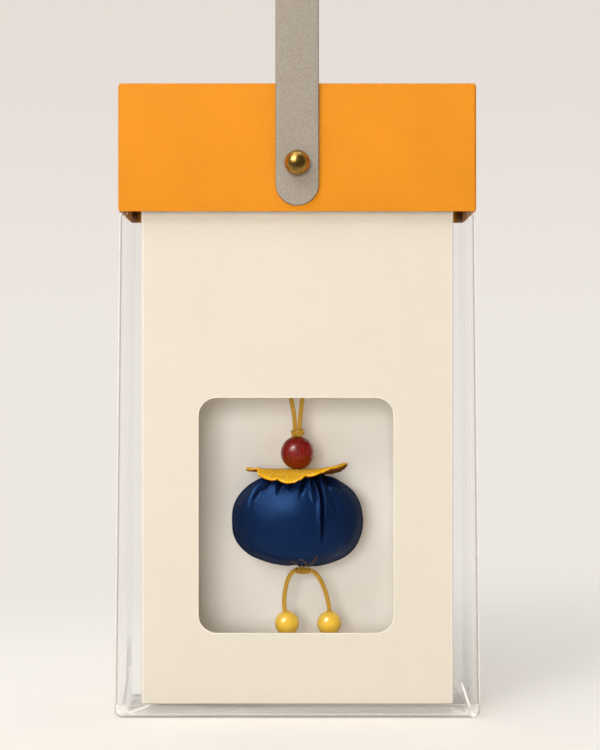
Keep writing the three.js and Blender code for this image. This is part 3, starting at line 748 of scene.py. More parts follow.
NECK_TURNS, NECK_THREAD, NECK_SWELL = 4, 0.32, 0.3
wide, _, tall = size_of("neck_thread")
t = np.linspace(0, 1, 64 * NECK_TURNS + 1)
reach = wide / 2 - NECK_THREAD / 2 - NECK_SWELL * (0.5 + 0.5 * np.cos(math.pi * t * 2))
winding = np.column_stack([
    reach * np.cos(2 * math.pi * NECK_TURNS * t), reach * np.sin(2 * math.pi * NECK_TURNS * t),
    box_mm("neck_thread")[0][2] + NECK_THREAD / 2 + t * (tall - NECK_THREAD),
])
thread = tube(winding, NECK_THREAD, NECK_THREAD, sides=8)
new_piece("neck_thread_wound", thread, cord_gold, "sachet", "neck_thread")

# %% [markdown]
# ## The stuffed satin body
# A tube of satin is gathered at the neck and the foot and stuffed with herbs. It is wider than
# it is deep, its shoulders are full, and the gather throws creases down the front, one of them
# deep. The base is a body of rounded rings. The creases are lines on the front, pressed in
# along each point's own outward direction, so their depth and place can be set one by one.

# %% The body's rings
COVER_WIDTH, COVER_DEPTH = size_of("sachet_cover")[:2]
COVER_TOP, COVER_HEIGHT = 84.28, 33.6
RIM_RADIUS, GROOVE_RADIUS, HOLE_RADIUS, GROOVE_DEPTH = 4.8, 3.5, 2.3, 1.0
TOP_FULLNESS, BOTTOM_FULLNESS, LEAN = 2.25, 2.45, 2.0
COVER_SIDES, COVER_RINGS = 420, 150
print("cover, mm:", round(COVER_WIDTH, 2), "wide,", round(COVER_DEPTH, 2), "deep,", COVER_HEIGHT, "high")


def body_rings(inset, count, sides):
    """Rings down a body that is smaller than the cover by the inset."""
    half_width, half_height = COVER_WIDTH / 2 - inset, COVER_HEIGHT / 2 - inset
    start = math.asin((RIM_RADIUS / half_width) ** (TOP_FULLNESS / 2))
    around = np.linspace(0, 2 * math.pi, sides)
    rings = []
    for angle in np.linspace(start, math.pi - start, count):
        power = 2 / (TOP_FULLNESS if angle < math.pi / 2 else BOTTOM_FULLNESS)
        radius = half_width * math.sin(angle) ** power
        rise = math.cos(angle)
        height = COVER_TOP - COVER_HEIGHT / 2 + math.copysign(half_height * abs(rise) ** power, rise)
        rings.append(flat_ring(radius, height, around))
    return np.array(rings)


def flat_ring(radius, height, around):
    """A ring that is round when small and flat when wide, leaning to the foot's gather."""
    share = smoothstep(radius, RIM_RADIUS, COVER_WIDTH / 2)
    flatness = 1 - (1 - COVER_DEPTH / COVER_WIDTH) * np.sqrt(share)
    lean = LEAN * (COVER_TOP - height) / COVER_HEIGHT * (1 - 2 * radius / COVER_WIDTH)
    return np.column_stack([
        radius * np.cos(around) + lean, radius * flatness * np.sin(around), np.full(len(around), height),
    ])


def outward(grid):
    """The outward direction at each point of a grid of rings."""
    down = np.gradient(grid, axis=0)
    round_ = np.gradient(grid, axis=1)
    round_[:, 0] = round_[:, -1] = grid[:, 1] - grid[:, -2]
    normal = np.cross(down, round_)
    normal /= np.maximum(np.linalg.norm(normal, axis=2), 1e-9)[..., None]
    centre = grid.mean(axis=(0, 1))
    facing = ((grid - centre) * normal).sum(2)
    return normal * np.where(np.median(facing) < 0, -1, 1)


# %% Creases and pleats
# Each crease: its line on the front (across, height), depth, and how soft its left and right
# sides are
CREASES = [
    ([(-8.4, 83.2), (-9.6, 81.4), (-12.6, 79.2), (-15.4, 76.0), (-17.3, 72.6)], 1.5, 0.7, 0.4),
    ([(-5.2, 83.4), (-5.8, 81.6), (-6.6, 79.2), (-7.2, 76.6)], 0.75, 0.5, 0.6),
    ([(-10.5, 80.6), (-11.4, 79.2), (-12.4, 77.2)], 0.5, 0.45, 0.7),
    ([(-2.2, 83.2), (-2.6, 80.6), (-2.4, 78.2)], 0.4, 0.6, 0.6),
    ([(2.6, 83.4), (2.2, 81.2), (1.5, 78.6), (0.9, 76.2)], 0.85, 0.5, 0.7),
    ([(5.2, 83.4), (5.7, 81.6), (6.5, 77.2), (7.3, 73.4)], 0.95, 0.6, 0.5),
    ([(6.7, 83.2), (7.8, 80.2), (8.9, 75.6), (9.1, 71.6), (8.9, 66.0), (8.8, 59.6)], 1.9, 0.5, 0.34),
    ([(10.0, 82.8), (11.8, 81.2), (14.4, 79.6), (16.0, 78.0)], 0.8, 0.55, 0.5),
    ([(9.0, 82.8), (10.8, 80.0), (11.8, 77.4)], 0.6, 0.5, 0.6),
    ([(12.8, 74.6), (13.6, 71.6), (13.4, 68.4)], 0.4, 0.8, 1.0),
]
# The same for the back, where the gather is more even
BACK_CREASES = [
    ([(-10.5, 83.0), (-12.6, 79.0), (-15.4, 73.8)], 0.9, 0.6, 0.6),
    ([(-6.0, 83.4), (-7.6, 78.4), (-8.8, 70.5)], 1.2, 0.6, 0.5),
    ([(-2.6, 83.4), (-3.1, 79.0), (-3.0, 75.2)], 0.8, 0.6, 0.5),
    ([(0.8, 83.4), (0.6, 78.0), (1.0, 68.0), (0.8, 62.5)], 1.5, 0.55, 0.7),
    ([(3.8, 83.4), (4.6, 79.0), (5.3, 74.2)], 0.9, 0.5, 0.6),
    ([(7.0, 83.2), (9.4, 78.6), (11.6, 72.0)], 1.1, 0.6, 0.5),
    ([(10.6, 82.6), (13.6, 79.6), (16.6, 75.6)], 0.8, 0.5, 0.6),
]


def near_segment(x, z, start, end):
    """For points on a plane: their share of the way along a segment, and how far off it they are."""
    (x0, z0), (x1, z1) = start, end
    t = np.clip(((x - x0) * (x1 - x0) + (z - z0) * (z1 - z0)) / ((x1 - x0) ** 2 + (z1 - z0) ** 2), 0, 1)
    return t, np.hypot(x - x0 - t * (x1 - x0), z - z0 - t * (z1 - z0))


CREASE_STEP, CREASE_START, CREASE_NARROWING, CREASE_STRENGTH, CREASE_FADE = 0.25, 1.1, 0.45, 1.9, 0.8
SWELL, SWELL_PLACE, SWELL_WIDTH = 0.32, 2.6, 1.6


def pressed(across, height, crease):
    """How deep a crease is at points given across and up, with the soft swell beside it."""
    line, depth, left, right = crease
    line = smooth_path([(x, 0, z) for x, z in line], CREASE_STEP)[:, ::2]
    best = np.full(across.shape, 1e9)
    share, sign = np.zeros(across.shape), np.ones(across.shape)
    for i, (a, b) in enumerate(zip(line, line[1:])):
        t, gap = near_segment(across, height, a, b)
        turn = (b[0] - a[0]) * (height - a[1]) - (b[1] - a[1]) * (across - a[0])
        nearer = gap < best
        best = np.where(nearer, gap, best)
        share = np.where(nearer, (i + t) / (len(line) - 1), share)
        sign = np.where(nearer, np.sign(turn), sign)
    width = np.where(sign > 0, right, left) * (CREASE_START - CREASE_NARROWING * share)
    fade = np.minimum(1, CREASE_STRENGTH * (1 - share) ** CREASE_FADE)
    swell = SWELL * np.exp(-((best - SWELL_PLACE * width) / (SWELL_WIDTH * width)) ** 2)
    return depth * fade * (np.exp(-best / width) - swell)


def soft_noise(grid, size, stretch=(1, 1, 1), seed=0.0):
    """Smooth noise from -1 to 1 at each point, with patches of a size in millimetres."""
    flat = grid.reshape(-1, 3) * np.array(stretch) / size + seed
    return np.array([noise.noise(Vector(p)) for p in flat]).reshape(grid.shape[:-1])


NECK_PLEATS, NECK_PLEAT_DEPTH, FOOT_PLEATS, FOOT_PLEAT_DEPTH = 13, 0.9, 9, 0.6
FRONT_STRENGTH = 1.35


def pleats(around, count, shift=0):
    return 1 - np.abs(np.sin(count * around + shift))


def pressed_cover(grid):
    """The body's rings with pleats, creases and the filling's soft lumps, and their painted shade."""
    x, y, z = grid[..., 0], grid[..., 1], grid[..., 2]
    up = (z - (COVER_TOP - COVER_HEIGHT / 2)) / (COVER_HEIGHT / 2)
    around = np.arctan2(y, x)
    wander = around + 0.22 * np.sin(2 * around + 0.7) + 0.12 * np.sin(5 * around)
    depth = NECK_PLEAT_DEPTH * smoothstep(up, 0.62, 0.97) * pleats(wander, NECK_PLEATS)
    depth = depth + FOOT_PLEAT_DEPTH * smoothstep(-up, 0.78, 0.99) * pleats(wander, FOOT_PLEATS, 1)
    front, back = FRONT_STRENGTH * smoothstep(-y, -0.5, 2.5), 1 - smoothstep(-y, -2.5, 0.5)
    for creases, shown in ((CREASES, front), (BACK_CREASES, back)):
        for crease in creases:
            depth = depth + shown * pressed(x, z, crease)
    lumps = 0.2 * soft_noise(grid, 7.5, seed=3.7) + 0.06 * soft_noise(grid, 2.6, (1, 1, 0.6), seed=9.1)
    # Painted shade: darker in deep creases and near the neck's gather
    creased = np.clip(0.75 * depth + 0.3 * smoothstep(up, 0.8, 0.97), 0, 0.9)
    return grid + outward(grid) * (lumps - depth)[..., None], creased


# %% Make the cover
FABRIC, INNER_INSET, INNER_RINGS, CLOTH_ROUND = 0.6, 2.9, 24, 124
COLUMNS = COVER_SIDES + 1
floor_level, foot_level = COVER_TOP - GROOVE_DEPTH, COVER_TOP - COVER_HEIGHT + FABRIC


def hem(*places):
    """Flat rings of cloth round the gather's hole, at places given as radius and height."""
    return [flat_ring(radius, height, np.linspace(0, 2 * math.pi, COLUMNS)) for radius, height in places]


outer, folds = pressed_cover(body_rings(0.0, COVER_RINGS, COLUMNS))
rings = np.concatenate([
    hem((HOLE_RADIUS, floor_level), (GROOVE_RADIUS, floor_level)), outer,
    hem((HOLE_RADIUS, foot_level), (HOLE_RADIUS, foot_level + FABRIC)),
    body_rings(INNER_INSET, INNER_RINGS, COLUMNS)[::-1],
    hem((HOLE_RADIUS, floor_level - FABRIC), (HOLE_RADIUS, floor_level)),
])
down_cloth = np.cumsum([0, *np.linalg.norm(np.diff(rings, axis=0), axis=2).mean(1)])
lay_map = np.stack(np.meshgrid(np.linspace(0, CLOTH_ROUND, COLUMNS), down_cloth), axis=-1).reshape(-1, 2)
faces = [(i + j, i + j + 1, i + j + COLUMNS + 1, i + j + COLUMNS)
         for i in range(0, (len(rings) - 1) * COLUMNS, COLUMNS) for j in range(COVER_SIDES)]
cloth = (rings.reshape(-1, 3), faces, lay_map)
cover = new_piece("sachet_satin_body", cloth, satin, "sachet", "sachet_cover", sharp=70)
# The fold value is painted shade in the creases and at the neck
painted(cover, outer.reshape(-1, 3), fold=folds)

# %% Wind the bottom knot
WHIP_TURNS, WHIP_THREAD, WHIP_OVERHANG, WHIP_PITCH, CORE_SHARE = 4, 1.05, 0.45, 2.0, 0.8
THREAD_END_WIDE, THREAD_END_THICK, THREAD_END_PROUD, NEAR_CLOTH = 0.3, 0.22, 0.1, 0.8
THREAD_ENDS = [
    [(0.9, 53.9), (1.6, 54.1), (2.3, 53.7), (3.0, 52.6), (3.1, 51.6)],
    [(-2.3, 53.5), (-1.4, 53.2), (-0.5, 52.5), (0.3, 51.6)],
    [(6.9, 55.2), (5.9, 53.6), (4.9, 52.4), (4.0, 51.5)],
]


def on_front(across, height):
    """A point on the front of the cover, just proud of the cloth."""
    near = np.hypot(outer[..., 0] - across, outer[..., 2] - height) < NEAR_CLOTH
    return (across, outer[..., 1][near].min() - THREAD_END_PROUD, height)


bottom_centre = middle("bottom_knot")
half_span = size_of("bottom_knot")[0] / 2 + WHIP_OVERHANG - WHIP_THREAD / 2
t = np.linspace(0, 1, 60 * WHIP_TURNS + 1)
swell = 0.8 - 0.18 * (2 * t - 1) ** 2
turn = 2 * math.pi * WHIP_TURNS * t
whip = np.column_stack([(2 * t - 1) * half_span, swell * np.sin(turn), swell * np.cos(turn)]) + bottom_centre
core = even_steps([bottom_centre - (half_span, 0, 0), bottom_centre + (half_span, 0, 0)], BRAID_STEP)
ends = [tube(smooth_path([on_front(*place) for place in line], 0.2), THREAD_END_WIDE, THREAD_END_THICK)
        for line in THREAD_ENDS]
wound = joined(braid(even_steps(whip, BRAID_STEP), WHIP_THREAD, WHIP_PITCH),
               braid(core, CORD_DIAMETER * CORE_SHARE), *ends)
new_piece("bottom_knot_wound", wound, cord_gold, "sachet", "bottom_knot")

# %% Fill it with herbs
HERB_INSET, HERB_BORE, HERB_RINGS, HERB_SIDES = 3.3, 2.0, 40, 96
herb = body_rings(HERB_INSET, HERB_RINGS, HERB_SIDES + 1)
lumps = 0.45 * soft_noise(herb, 1.6, seed=5.3) + 0.3 * soft_noise(herb, 0.7, seed=1.1)
herb = (herb + outward(herb) * lumps[..., None])[:, :-1]
bore = [flat_ring(HERB_BORE, end[:, 2].mean(), np.linspace(0, 2 * math.pi, HERB_SIDES + 1)[:-1])
        for end in (herb[0], herb[-1])]
herb_shape = skin([bore[0], *herb, bore[1]], wrap=True)
herbs = new_piece("herb_filling_loose", herb_shape, herb_leaf, "sachet", "herb_filling")

# %% [markdown]
# ## The felt collar
# A scalloped disc of felt lies on the gather like a hat. It droops in front and behind and
# its ends lift, the right one more, so its underside shows there. Felt has a soft cut edge,
# so the rim is round, and fine noise roughens both faces.

# %% Shape the collar
COLLAR_WIDTH, COLLAR_DEPTH = 36.6, 29.6
COLLAR_TOP, COLLAR_THICKNESS, COLLAR_HOLE = 85.28, 1.1, 1.95
SCALLOPS, SCALLOP_DEPTH, SCALLOP_RISE, FIRST_NOTCH = 11, 1.3, 0.85, -80
# Height of the rim over a flat disc, by degrees round from the right, the front being at -90
RIM_HEIGHTS = [
    (-172, 0.75), (-158, 0.8), (-147, 0.6), (-139, -0.9), (-131, -1.3), (-124, -2.2), (-117, -2.7),
    (-108, -3.1), (-99, -3.3), (-92, -2.9), (-85, -2.1), (-78, -1.4), (-72, -0.9), (-66, -0.1),
    (-57, 0.7), (-50, 1.2), (-41, 1.7), (-28, 2.2), (-17, 2.5), (-6, 2.6), (5, 2.0), (15, 1.0),
    (28, -0.1), (39, -0.9), (51, -1.5), (65, -1.7), (90, -1.6), (120, -1.2), (150, -0.2), (172, 0.6),
]
COLLAR_SIDES, COLLAR_RINGS = 480, 44


def notch(angle):
    """1 in the notch between two scallops, falling to 0 along each scallop."""
    turns = (np.degrees(angle) + 180) % 360 - 180
    in_front = 1 - 0.75 * smoothstep(np.abs(turns + 112), 38, 50)
    return in_front * (1 - np.abs(np.sin(SCALLOPS * (angle - math.radians(FIRST_NOTCH)) / 2))) ** 1.6


fine = np.arange(-180.0, 541)
kernel = np.hanning(9) / np.hanning(9).sum()
rim_line = np.interp(fine, *np.array(RIM_HEIGHTS).T, period=360)
rim_line = np.convolve(np.pad(rim_line, len(kernel) // 2, mode="edge"), kernel, mode="valid")


def collar_ring(share, level):
    """One ring of the collar: its share of the way out, and 1 for the top face, -1 for the foot."""
    angle = np.linspace(0, 2 * math.pi, COLLAR_SIDES, endpoint=False)
    scallop = SCALLOP_DEPTH * share ** 4 * notch(angle)
    across, deep = (COLLAR_HOLE + share * (size / 2 - COLLAR_HOLE) - scallop
                    for size in (COLLAR_WIDTH, COLLAR_DEPTH))
    rim_rise = np.interp(np.degrees(angle), fine, rim_line) + SCALLOP_RISE * share ** 4 * notch(angle)
    height = COLLAR_TOP - COLLAR_THICKNESS / 2 + level * COLLAR_THICKNESS / 2 + share ** 2 * rim_rise
    return np.column_stack([across * np.cos(angle) - 0.3 * share, deep * np.sin(angle), height])


EDGE_SHARE, EDGE_RINGS = 0.022, 7
shares = np.linspace(0, 1 - EDGE_SHARE, COLLAR_RINGS)
edge = [collar_ring(1 - EDGE_SHARE + EDGE_SHARE * math.sin(a), math.cos(a))
        for a in np.linspace(0, math.pi, EDGE_RINGS + 2)[1:-1]]
grid = np.array([collar_ring(s, 1) for s in shares] + edge + [collar_ring(s, -1) for s in shares[::-1]])
fuzz = 0.24 * soft_noise(grid, 1.1, seed=2.2) + 0.1 * soft_noise(grid, 0.45, seed=8.8)
grid[..., 2] += fuzz + 0.12 * soft_noise(grid, 5.0, seed=4.4)
grid[..., :2] *= (1 + 0.013 * soft_noise(grid, 1.3, seed=6.6))[..., None]
collar = new_piece("felt_collar_cut", skin(list(grid), wrap=True), felt, "sachet", "felt_collar", sharp=80)
# The collar's underside is painted darker: painted shade
under = np.arange(len(grid)) >= COLLAR_RINGS + EDGE_RINGS // 2 + 1
painted(collar, grid.reshape(-1, 3), under_side=np.repeat(under.astype(float), COLLAR_SIDES))

# %% [markdown]
# ## The card box and its back
# The box is one sheet of cream card: a front with a round-cornered window, and four sides
# folded back. A fold in card is never sharp, so the edges turn on a small radius, which is
# what catches the light; the folds also get a painted highlight. The window's cut edge shows
# the card's thickness, lighter both as the card's white core and as a painted highlight.

# %% Rounded rectangles and folds
CORNER_POINTS = 9


def rounded_rectangle(half_width, half_height, radius, axis, level, centre=(0, 0)):
    """A ring round a rectangle with rounded corners, laid square to an axis at a level."""
    points = []
    for k, (sx, sy) in enumerate([(1, 1), (-1, 1), (-1, -1), (1, -1)]):
        for a in np.linspace(k * math.pi / 2, (k + 1) * math.pi / 2, CORNER_POINTS):
            points.append((centre[0] + sx * (half_width - radius) + radius * math.cos(a),
                           centre[1] + sy * (half_height - radius) + radius * math.sin(a)))
    return np.insert(np.array(points), axis, level, axis=1)


def folded(radius, steps):
    """How far in and how far back each step of a fold is, from the side round to the face."""
    return [(radius * (1 - math.cos(a)), radius * (1 - math.sin(a)))
            for a in np.linspace(0, math.pi / 2, steps)]


# %% Fold the window box
CARD, FOLD_RADIUS, INNER_FOLD = 0.6, 0.75, 0.25
WINDOW_WIDTH, WINDOW_HEIGHT, WINDOW_SILL, WINDOW_RADIUS, WINDOW_SHIFT = 68.2, 82.2, 24.9, 6.4, -0.4
CUT_EDGE, CUT_EDGE_MARGIN = 0.07, 0.4
low, high = box_mm("window_card")
box_half, box_tall = (high[0] - low[0]) / 2, (high[2] - low[2]) / 2
front_face, box_back = low[1], high[1]


def box_loop(inset, depth):
    return rounded_rectangle(box_half - inset, box_tall - inset, max(0.5, FOLD_RADIUS - inset), 1, depth,
                             centre=(0, (high[2] + low[2]) / 2))


def window_loop(grow, depth):
    return rounded_rectangle(WINDOW_WIDTH / 2 + grow, WINDOW_HEIGHT / 2 + grow, WINDOW_RADIUS + grow, 1,
                             depth, centre=(WINDOW_SHIFT, low[2] + WINDOW_SILL + WINDOW_HEIGHT / 2))


folds = folded(FOLD_RADIUS, 6)
loops = [box_loop(0, box_back)] + [box_loop(side, front_face + back) for side, back in folds]
loops += [box_loop(FOLD_RADIUS + INNER_FOLD, front_face), window_loop(CUT_EDGE_MARGIN, front_face),
          window_loop(CUT_EDGE, front_face), window_loop(0, front_face + CUT_EDGE),
          window_loop(0, front_face + CARD)]
loops += [box_loop(CARD + side, front_face + CARD + back) for side, back in folded(INNER_FOLD, 4)[::-1]]
loops.append(box_loop(CARD, box_back))
# Painted highlight on the folds; on the window's cut edge, the white core with a painted highlight
light = [0.0] + [0.3 * (1 - back / FOLD_RADIUS) for _, back in folds] + [0.0, 0.0, 0.6, 1.0, 1.0] + [0.0] * 5
window_box = new_piece("window_box_card", skin(loops, wrap=True), cream_card, "header", "window_card")
painted(window_box, np.vstack(loops), edge_light=np.repeat(light, len(loops[0])))

# %% The back of the box
SOFT_EDGE = 0.12
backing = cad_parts["backing_card"]
backing.data.materials.clear()
backing.data.materials.append(white_card)
soft_edge = backing.modifiers.new("soft_edge", "BEVEL")
soft_edge.width, soft_edge.segments, soft_edge.limit_method = SOFT_EDGE * MM, 2, "ANGLE"
print("backing_card keeps its CAD form, with edges softened by", SOFT_EDGE, "mm")

# %% The foam tape
TAPE_CORNER = 1.5
# How far in each ring of the soft block is, and how far up
TAPE_RINGS = ((0.15, 0), (0, 0.15), (0.05, 0.4), (0, 0.65), (0.15, 0.8))
half, tape_foot = size_of("mounting_tape") / 2, box_mm("mounting_tape")[0][2]
loops = [rounded_rectangle(half[0] - inset, half[1] - inset, TAPE_CORNER, 2, tape_foot + up)
         for inset, up in TAPE_RINGS]
new_piece("foam_tape_strip", skin(loops, caps=True), foam, "header", "mounting_tape")

# %% [markdown]
# ## The lid and its fittings
# The lid is folded from one sheet of orange card, open below. On each side the outer flap is
# glued over the turned-in ends of the front and back, so a fine step shows near the corners.
# The strap is held by two ball studs, each with a screw and a fibre washer inside the lid.

# %% Drilling
STUD_HEIGHT = middle("front_stud")[2]
STUD_HOLE, DRILL_REACH = 2.3, 60


def drill(piece, sharp):
    """Bores the studs' hole from front to back through a piece."""
    bit = turned([(STUD_HOLE, -DRILL_REACH), (STUD_HOLE, DRILL_REACH)], sides=48, caps=True)
    cutter = new_object("cutter", moved(bit, (0, 0, STUD_HEIGHT), TO_FRONT))
    cutter_mesh = cutter.data
    cut = piece.modifiers.new("drill", "BOOLEAN")
    cut.object, cut.operation, cut.solver = cutter, "DIFFERENCE", "MANIFOLD"
    graph = bpy.context.evaluated_depsgraph_get()
    drilled = bpy.data.meshes.new_from_object(piece.evaluated_get(graph))
    piece.modifiers.clear()
    piece.data = drilled
    piece.data.set_sharp_from_angle(angle=math.radians(sharp))
    bpy.data.objects.remove(cutter)
    bpy.data.meshes.remove(cutter_mesh)


# %% Fold the lid
LID_CARD, LID_SIDE_CARD, LID_FLAP, LID_CORNER, LID_FOLD = 0.6, 0.36, 0.24, 0.9, 0.8
LID_INNER_CORNER, FLAP_CORNER, FLAP_SIDE_MARGIN, FLAP_FOOT_MARGIN = 0.4, 1.2, 1.1, 0.45
low, high = box_mm("header_lid")
lid_half = (high - low)[:2] / 2
lid_foot, lid_top = low[2], high[2]


def lid_loop(side_inset, face_inset, height, radius=LID_CORNER):
    return rounded_rectangle(lid_half[0] - side_inset, lid_half[1] - face_inset, radius, 2, height)


outer_lid = [lid_loop(LID_FLAP + 0.06, 0.06, lid_foot), lid_loop(LID_FLAP, 0, lid_foot + 0.08)]
outer_lid += [lid_loop(LID_FLAP + fold, fold, lid_top - drop, max(0.3, LID_CORNER - fold))
              for fold, drop in folded(LID_FOLD, 6)]
wall = LID_FLAP + LID_SIDE_CARD
inner_lid = [lid_loop(wall, LID_CARD, lid_foot, LID_INNER_CORNER)]
inner_lid += [lid_loop(wall + fold, LID_CARD + fold, lid_top - LID_CARD - drop, LID_INNER_CORNER)
              for fold, drop in folded(INNER_FOLD, 4)]
parts = [skin(inner_lid[::-1] + outer_lid, caps=True)]
flap_half = lid_half[1] - FLAP_SIDE_MARGIN, (lid_top - lid_foot) / 2 - FLAP_FOOT_MARGIN
flap_centre = (0, (lid_top + lid_foot) / 2)
for side in (-1, 1):
    flap = [rounded_rectangle(flap_half[0] - inset, flap_half[1] - inset, FLAP_CORNER, 0,
                              side * (lid_half[0] - LID_FLAP + proud), centre=flap_centre)
            for inset, proud in ((0.0, -0.05), (0.0, LID_FLAP - 0.08), (0.1, LID_FLAP))]
    parts.append(skin(flap, caps=True))
lid = new_piece("folded_lid", joined(*parts), orange_card, "header", "header_lid")
drill(lid, sharp=40)

# %% Cut and bend the strap
STRAP_THICKNESS, EDGE_ROUND, TIP_PINCH = 1.6, 0.5, 0.55
TIP_ROWS, LONG_ROWS, FIRST_ROW, PAINTED_EDGE = 18, 150, 0.06, (0.32, 0.12)
strap_low, strap_high = box_mm("strap")
strap_half = (strap_high - strap_low)[0] / 2
arch_centre = strap_high[2] - strap_high[1]
middle_radius = strap_high[1] - STRAP_THICKNESS / 2
straight = arch_centre - strap_low[2]
half_length = straight + middle_radius * math.pi / 2


def bent(along, across, height):
    """Points across the flat strap, so far from its front tip, bent over the arch."""
    radius = middle_radius + height
    turn = np.clip((along - straight) / middle_radius, 0, math.pi)
    past = along - straight - math.pi * middle_radius
    up = arch_centre + radius * np.sin(turn) + min(along - straight, 0) - max(past, 0)
    return np.column_stack([across, -radius * np.cos(turn), up])


section = []
for cx, cz, start in ((1, 1, 0), (-1, 1, 90), (-1, -1, 180), (1, -1, 270)):
    section += [(cx, cz, math.cos(a), math.sin(a)) for a in np.radians(np.linspace(start, start + 90, 6))]
    if cx == cz:
        section += [(cx * (1 - 2 * t), cz, 0, cz) for t in np.linspace(0, 1, 13)[1:-1]]
side, face, round_side, round_face = np.array(section).T
tip_rows = strap_half * (1 - np.cos(np.linspace(FIRST_ROW, math.pi / 2, TIP_ROWS)))
half_rows = np.concatenate([tip_rows, np.linspace(strap_half, half_length, LONG_ROWS)[1:]])
rings = []
for along in np.concatenate([half_rows, 2 * half_length - half_rows[-2::-1]]):
    from_tip = min(along, 2 * half_length - along, strap_half)
    width = math.sqrt(strap_half ** 2 - (strap_half - from_tip) ** 2)
    edge_round = min(EDGE_ROUND, width * 0.9)
    across = side * (width - edge_round) + round_side * edge_round
    rings.append(bent(along, across, face * (STRAP_THICKNESS / 2 - EDGE_ROUND) + round_face * EDGE_ROUND))
for end in (0, -1):
    centre = rings[end].mean(0)
    rings[end] = centre + (rings[end] - centre) * (1, TIP_PINCH, 1)
strap = new_piece("leather_strap", skin(rings, caps=True), leather, "strap", "strap")
drill(strap, sharp=60)
place = np.array([v.co for v in strap.data.vertices]) / MM
from_tip_centre = np.minimum(place[:, 2] - strap_low[2] - strap_half, 0)
from_middle = np.hypot(place[:, 0], from_tip_centre)
near_edge = smoothstep(from_middle, *(strap_half - edge for edge in PAINTED_EDGE))
painted(strap, place, edge_paint=near_edge)

# %% Turn the studs, screws and washers
BALL, BALL_SEAT, NECK, NECK_BORE, NECK_DEPTH = 4.4, 3.6, 2.0, 1.4, 5.5
SHANK, SCREW_HEAD, HEAD_THICK, THREAD_DEPTH, THREAD_PITCH = 1.1, 3.6, 0.6, 0.14, 0.38
SLOT_HALF, SLOT_DEPTH, STUD_WASHER, THREADS, THREAD_START = 0.9, 0.06, 5.0, 12, 0.2


def faces_of(node):
    """How far a node's near and far faces are from the pack's middle plane."""
    return sorted(abs(corner[1]) for corner in box_mm(node))


def washer(inner, outer, low, high, soft=0.12):
    """A flat ring with soft edges."""
    corners = [(inner, low), (outer, low), (outer, high), (inner, high)]
    return turned(softened(corners, soft, closed=True), wrap=True)


for end, turn in (("front", TO_FRONT), ("rear", TO_REAR)):
    root, tip = faces_of(f"{end}_stud")
    ball_centre, seat_angle = tip - BALL, math.asin(BALL_SEAT / BALL)
    seat = ball_centre - BALL * math.cos(seat_angle)
    profile = [(BALL * math.sin(a), ball_centre + BALL * math.cos(a))
               for a in np.linspace(0, math.pi - seat_angle, 34)]
    profile += [(BALL_SEAT - 0.25, seat), (NECK + 0.15, seat), (NECK, seat - 0.15), (NECK, root),
                (NECK_BORE, root), (NECK_BORE, root + NECK_DEPTH), (0, root + NECK_DEPTH)]
    stud = turned(profile, sides=72)
    head, point = faces_of(f"{end}_stud_screw")
    under_head = head + HEAD_THICK
    profile = [(0, head), (SLOT_HALF, head), (SLOT_HALF + 0.1, head + 0.02),
               (SCREW_HEAD - 0.2, head + SLOT_DEPTH), (SCREW_HEAD, head + 0.25),
               (SCREW_HEAD, under_head - 0.05), (SCREW_HEAD - 0.1, under_head), (SHANK, under_head)]
    for start in under_head + THREAD_START + THREAD_PITCH * np.arange(THREADS):
        profile += [(SHANK - THREAD_DEPTH, start), (SHANK, start + THREAD_PITCH / 2)]
    profile += [(SHANK - THREAD_DEPTH, point - 0.2), (SHANK - 0.4, point), (0, point)]
    screw = turned(profile, sides=48)
    ring = washer(STUD_HOLE, STUD_WASHER, *faces_of(f"{end}_stud_washer"))
    for name, shape, finish, node in (("ball_stud", stud, aged_brass, "stud"),
                                      ("screw", screw, screw_steel, "stud_screw"),
                                      ("washer", ring, fibre_board, "stud_washer")):
        new_piece(f"{end}_{name}", moved(shape, (0, 0, STUD_HEIGHT), turn), finish, "header", f"{end}_{node}")

# %% Turn the peg and its washer
PEG, PEG_HEAD, PEG_HEAD_THICK, PEG_FLANGE, PEG_FLANGE_THICK = 2.2, 4.0, 1.5, 4.5, 1.2
PEG_WASHER_BORE, PEG_WASHER = 2.4, 4.6
low, high = box_mm("hanger_peg")
head, flange = -low[1], -high[1]
under_head, over_flange = head - PEG_HEAD_THICK, flange + PEG_FLANGE_THICK
profile = softened([(0, head), (PEG_HEAD, head), (PEG_HEAD, under_head), (PEG, under_head),
                    (PEG, over_flange), (PEG_FLANGE, over_flange), (PEG_FLANGE, flange), (0, flange)], 0.35)
low, high = box_mm("peg_washer")
ring = washer(PEG_WASHER_BORE, PEG_WASHER, -high[1], -low[1], soft=0.2)
for name, shape, node in (("moulded_peg", turned(profile), "hanger_peg"),
                          ("moulded_peg_washer", ring, "peg_washer")):
    new_piece(name, moved(shape, (0, 0, PEG_HEIGHT), TO_FRONT), peg_plastic, "header", node)

# %% [markdown]
# ## The clear pouch
# Two flat panels are welded to one long strip that makes the sides and the foot. The strip's
# edges turn out beside the panels, and the weld makes one sheet of the two, so the panels are
# thicker there. Film holds its folds: at each lower corner it is pinched, and fine creases and
# puckers run from the pinch up the side and along the foot.

# %% The pouch's outline
POUCH_NECK, POUCH_TALL = 122.5, 217.0
SHOULDER_FLARE, FOOT_FLARE, SHOULDER_SLOPE, LID_GAP = 0.9, 2.65, 1.2, 0.2
FLANGE, FILM, POUCH_CORNER, STRIP_CORNER = 1.8, 0.5, 3.1, 1.3
SHOULDER_HEIGHT = lid_foot - LID_GAP
PANEL_INNER = abs(box_mm("pouch_front_panel")[1][1])
# Near the corners, where the film is pinched, the outline's points stand closer together
CLOSE_REACH, CLOSE_STEP, CLOSE_SHARE = 18, 0.4, 18 / 170
FOOT_POINTS, ARC_POINTS, SIDE_POINTS = (12, 45), 14, (76, 40)


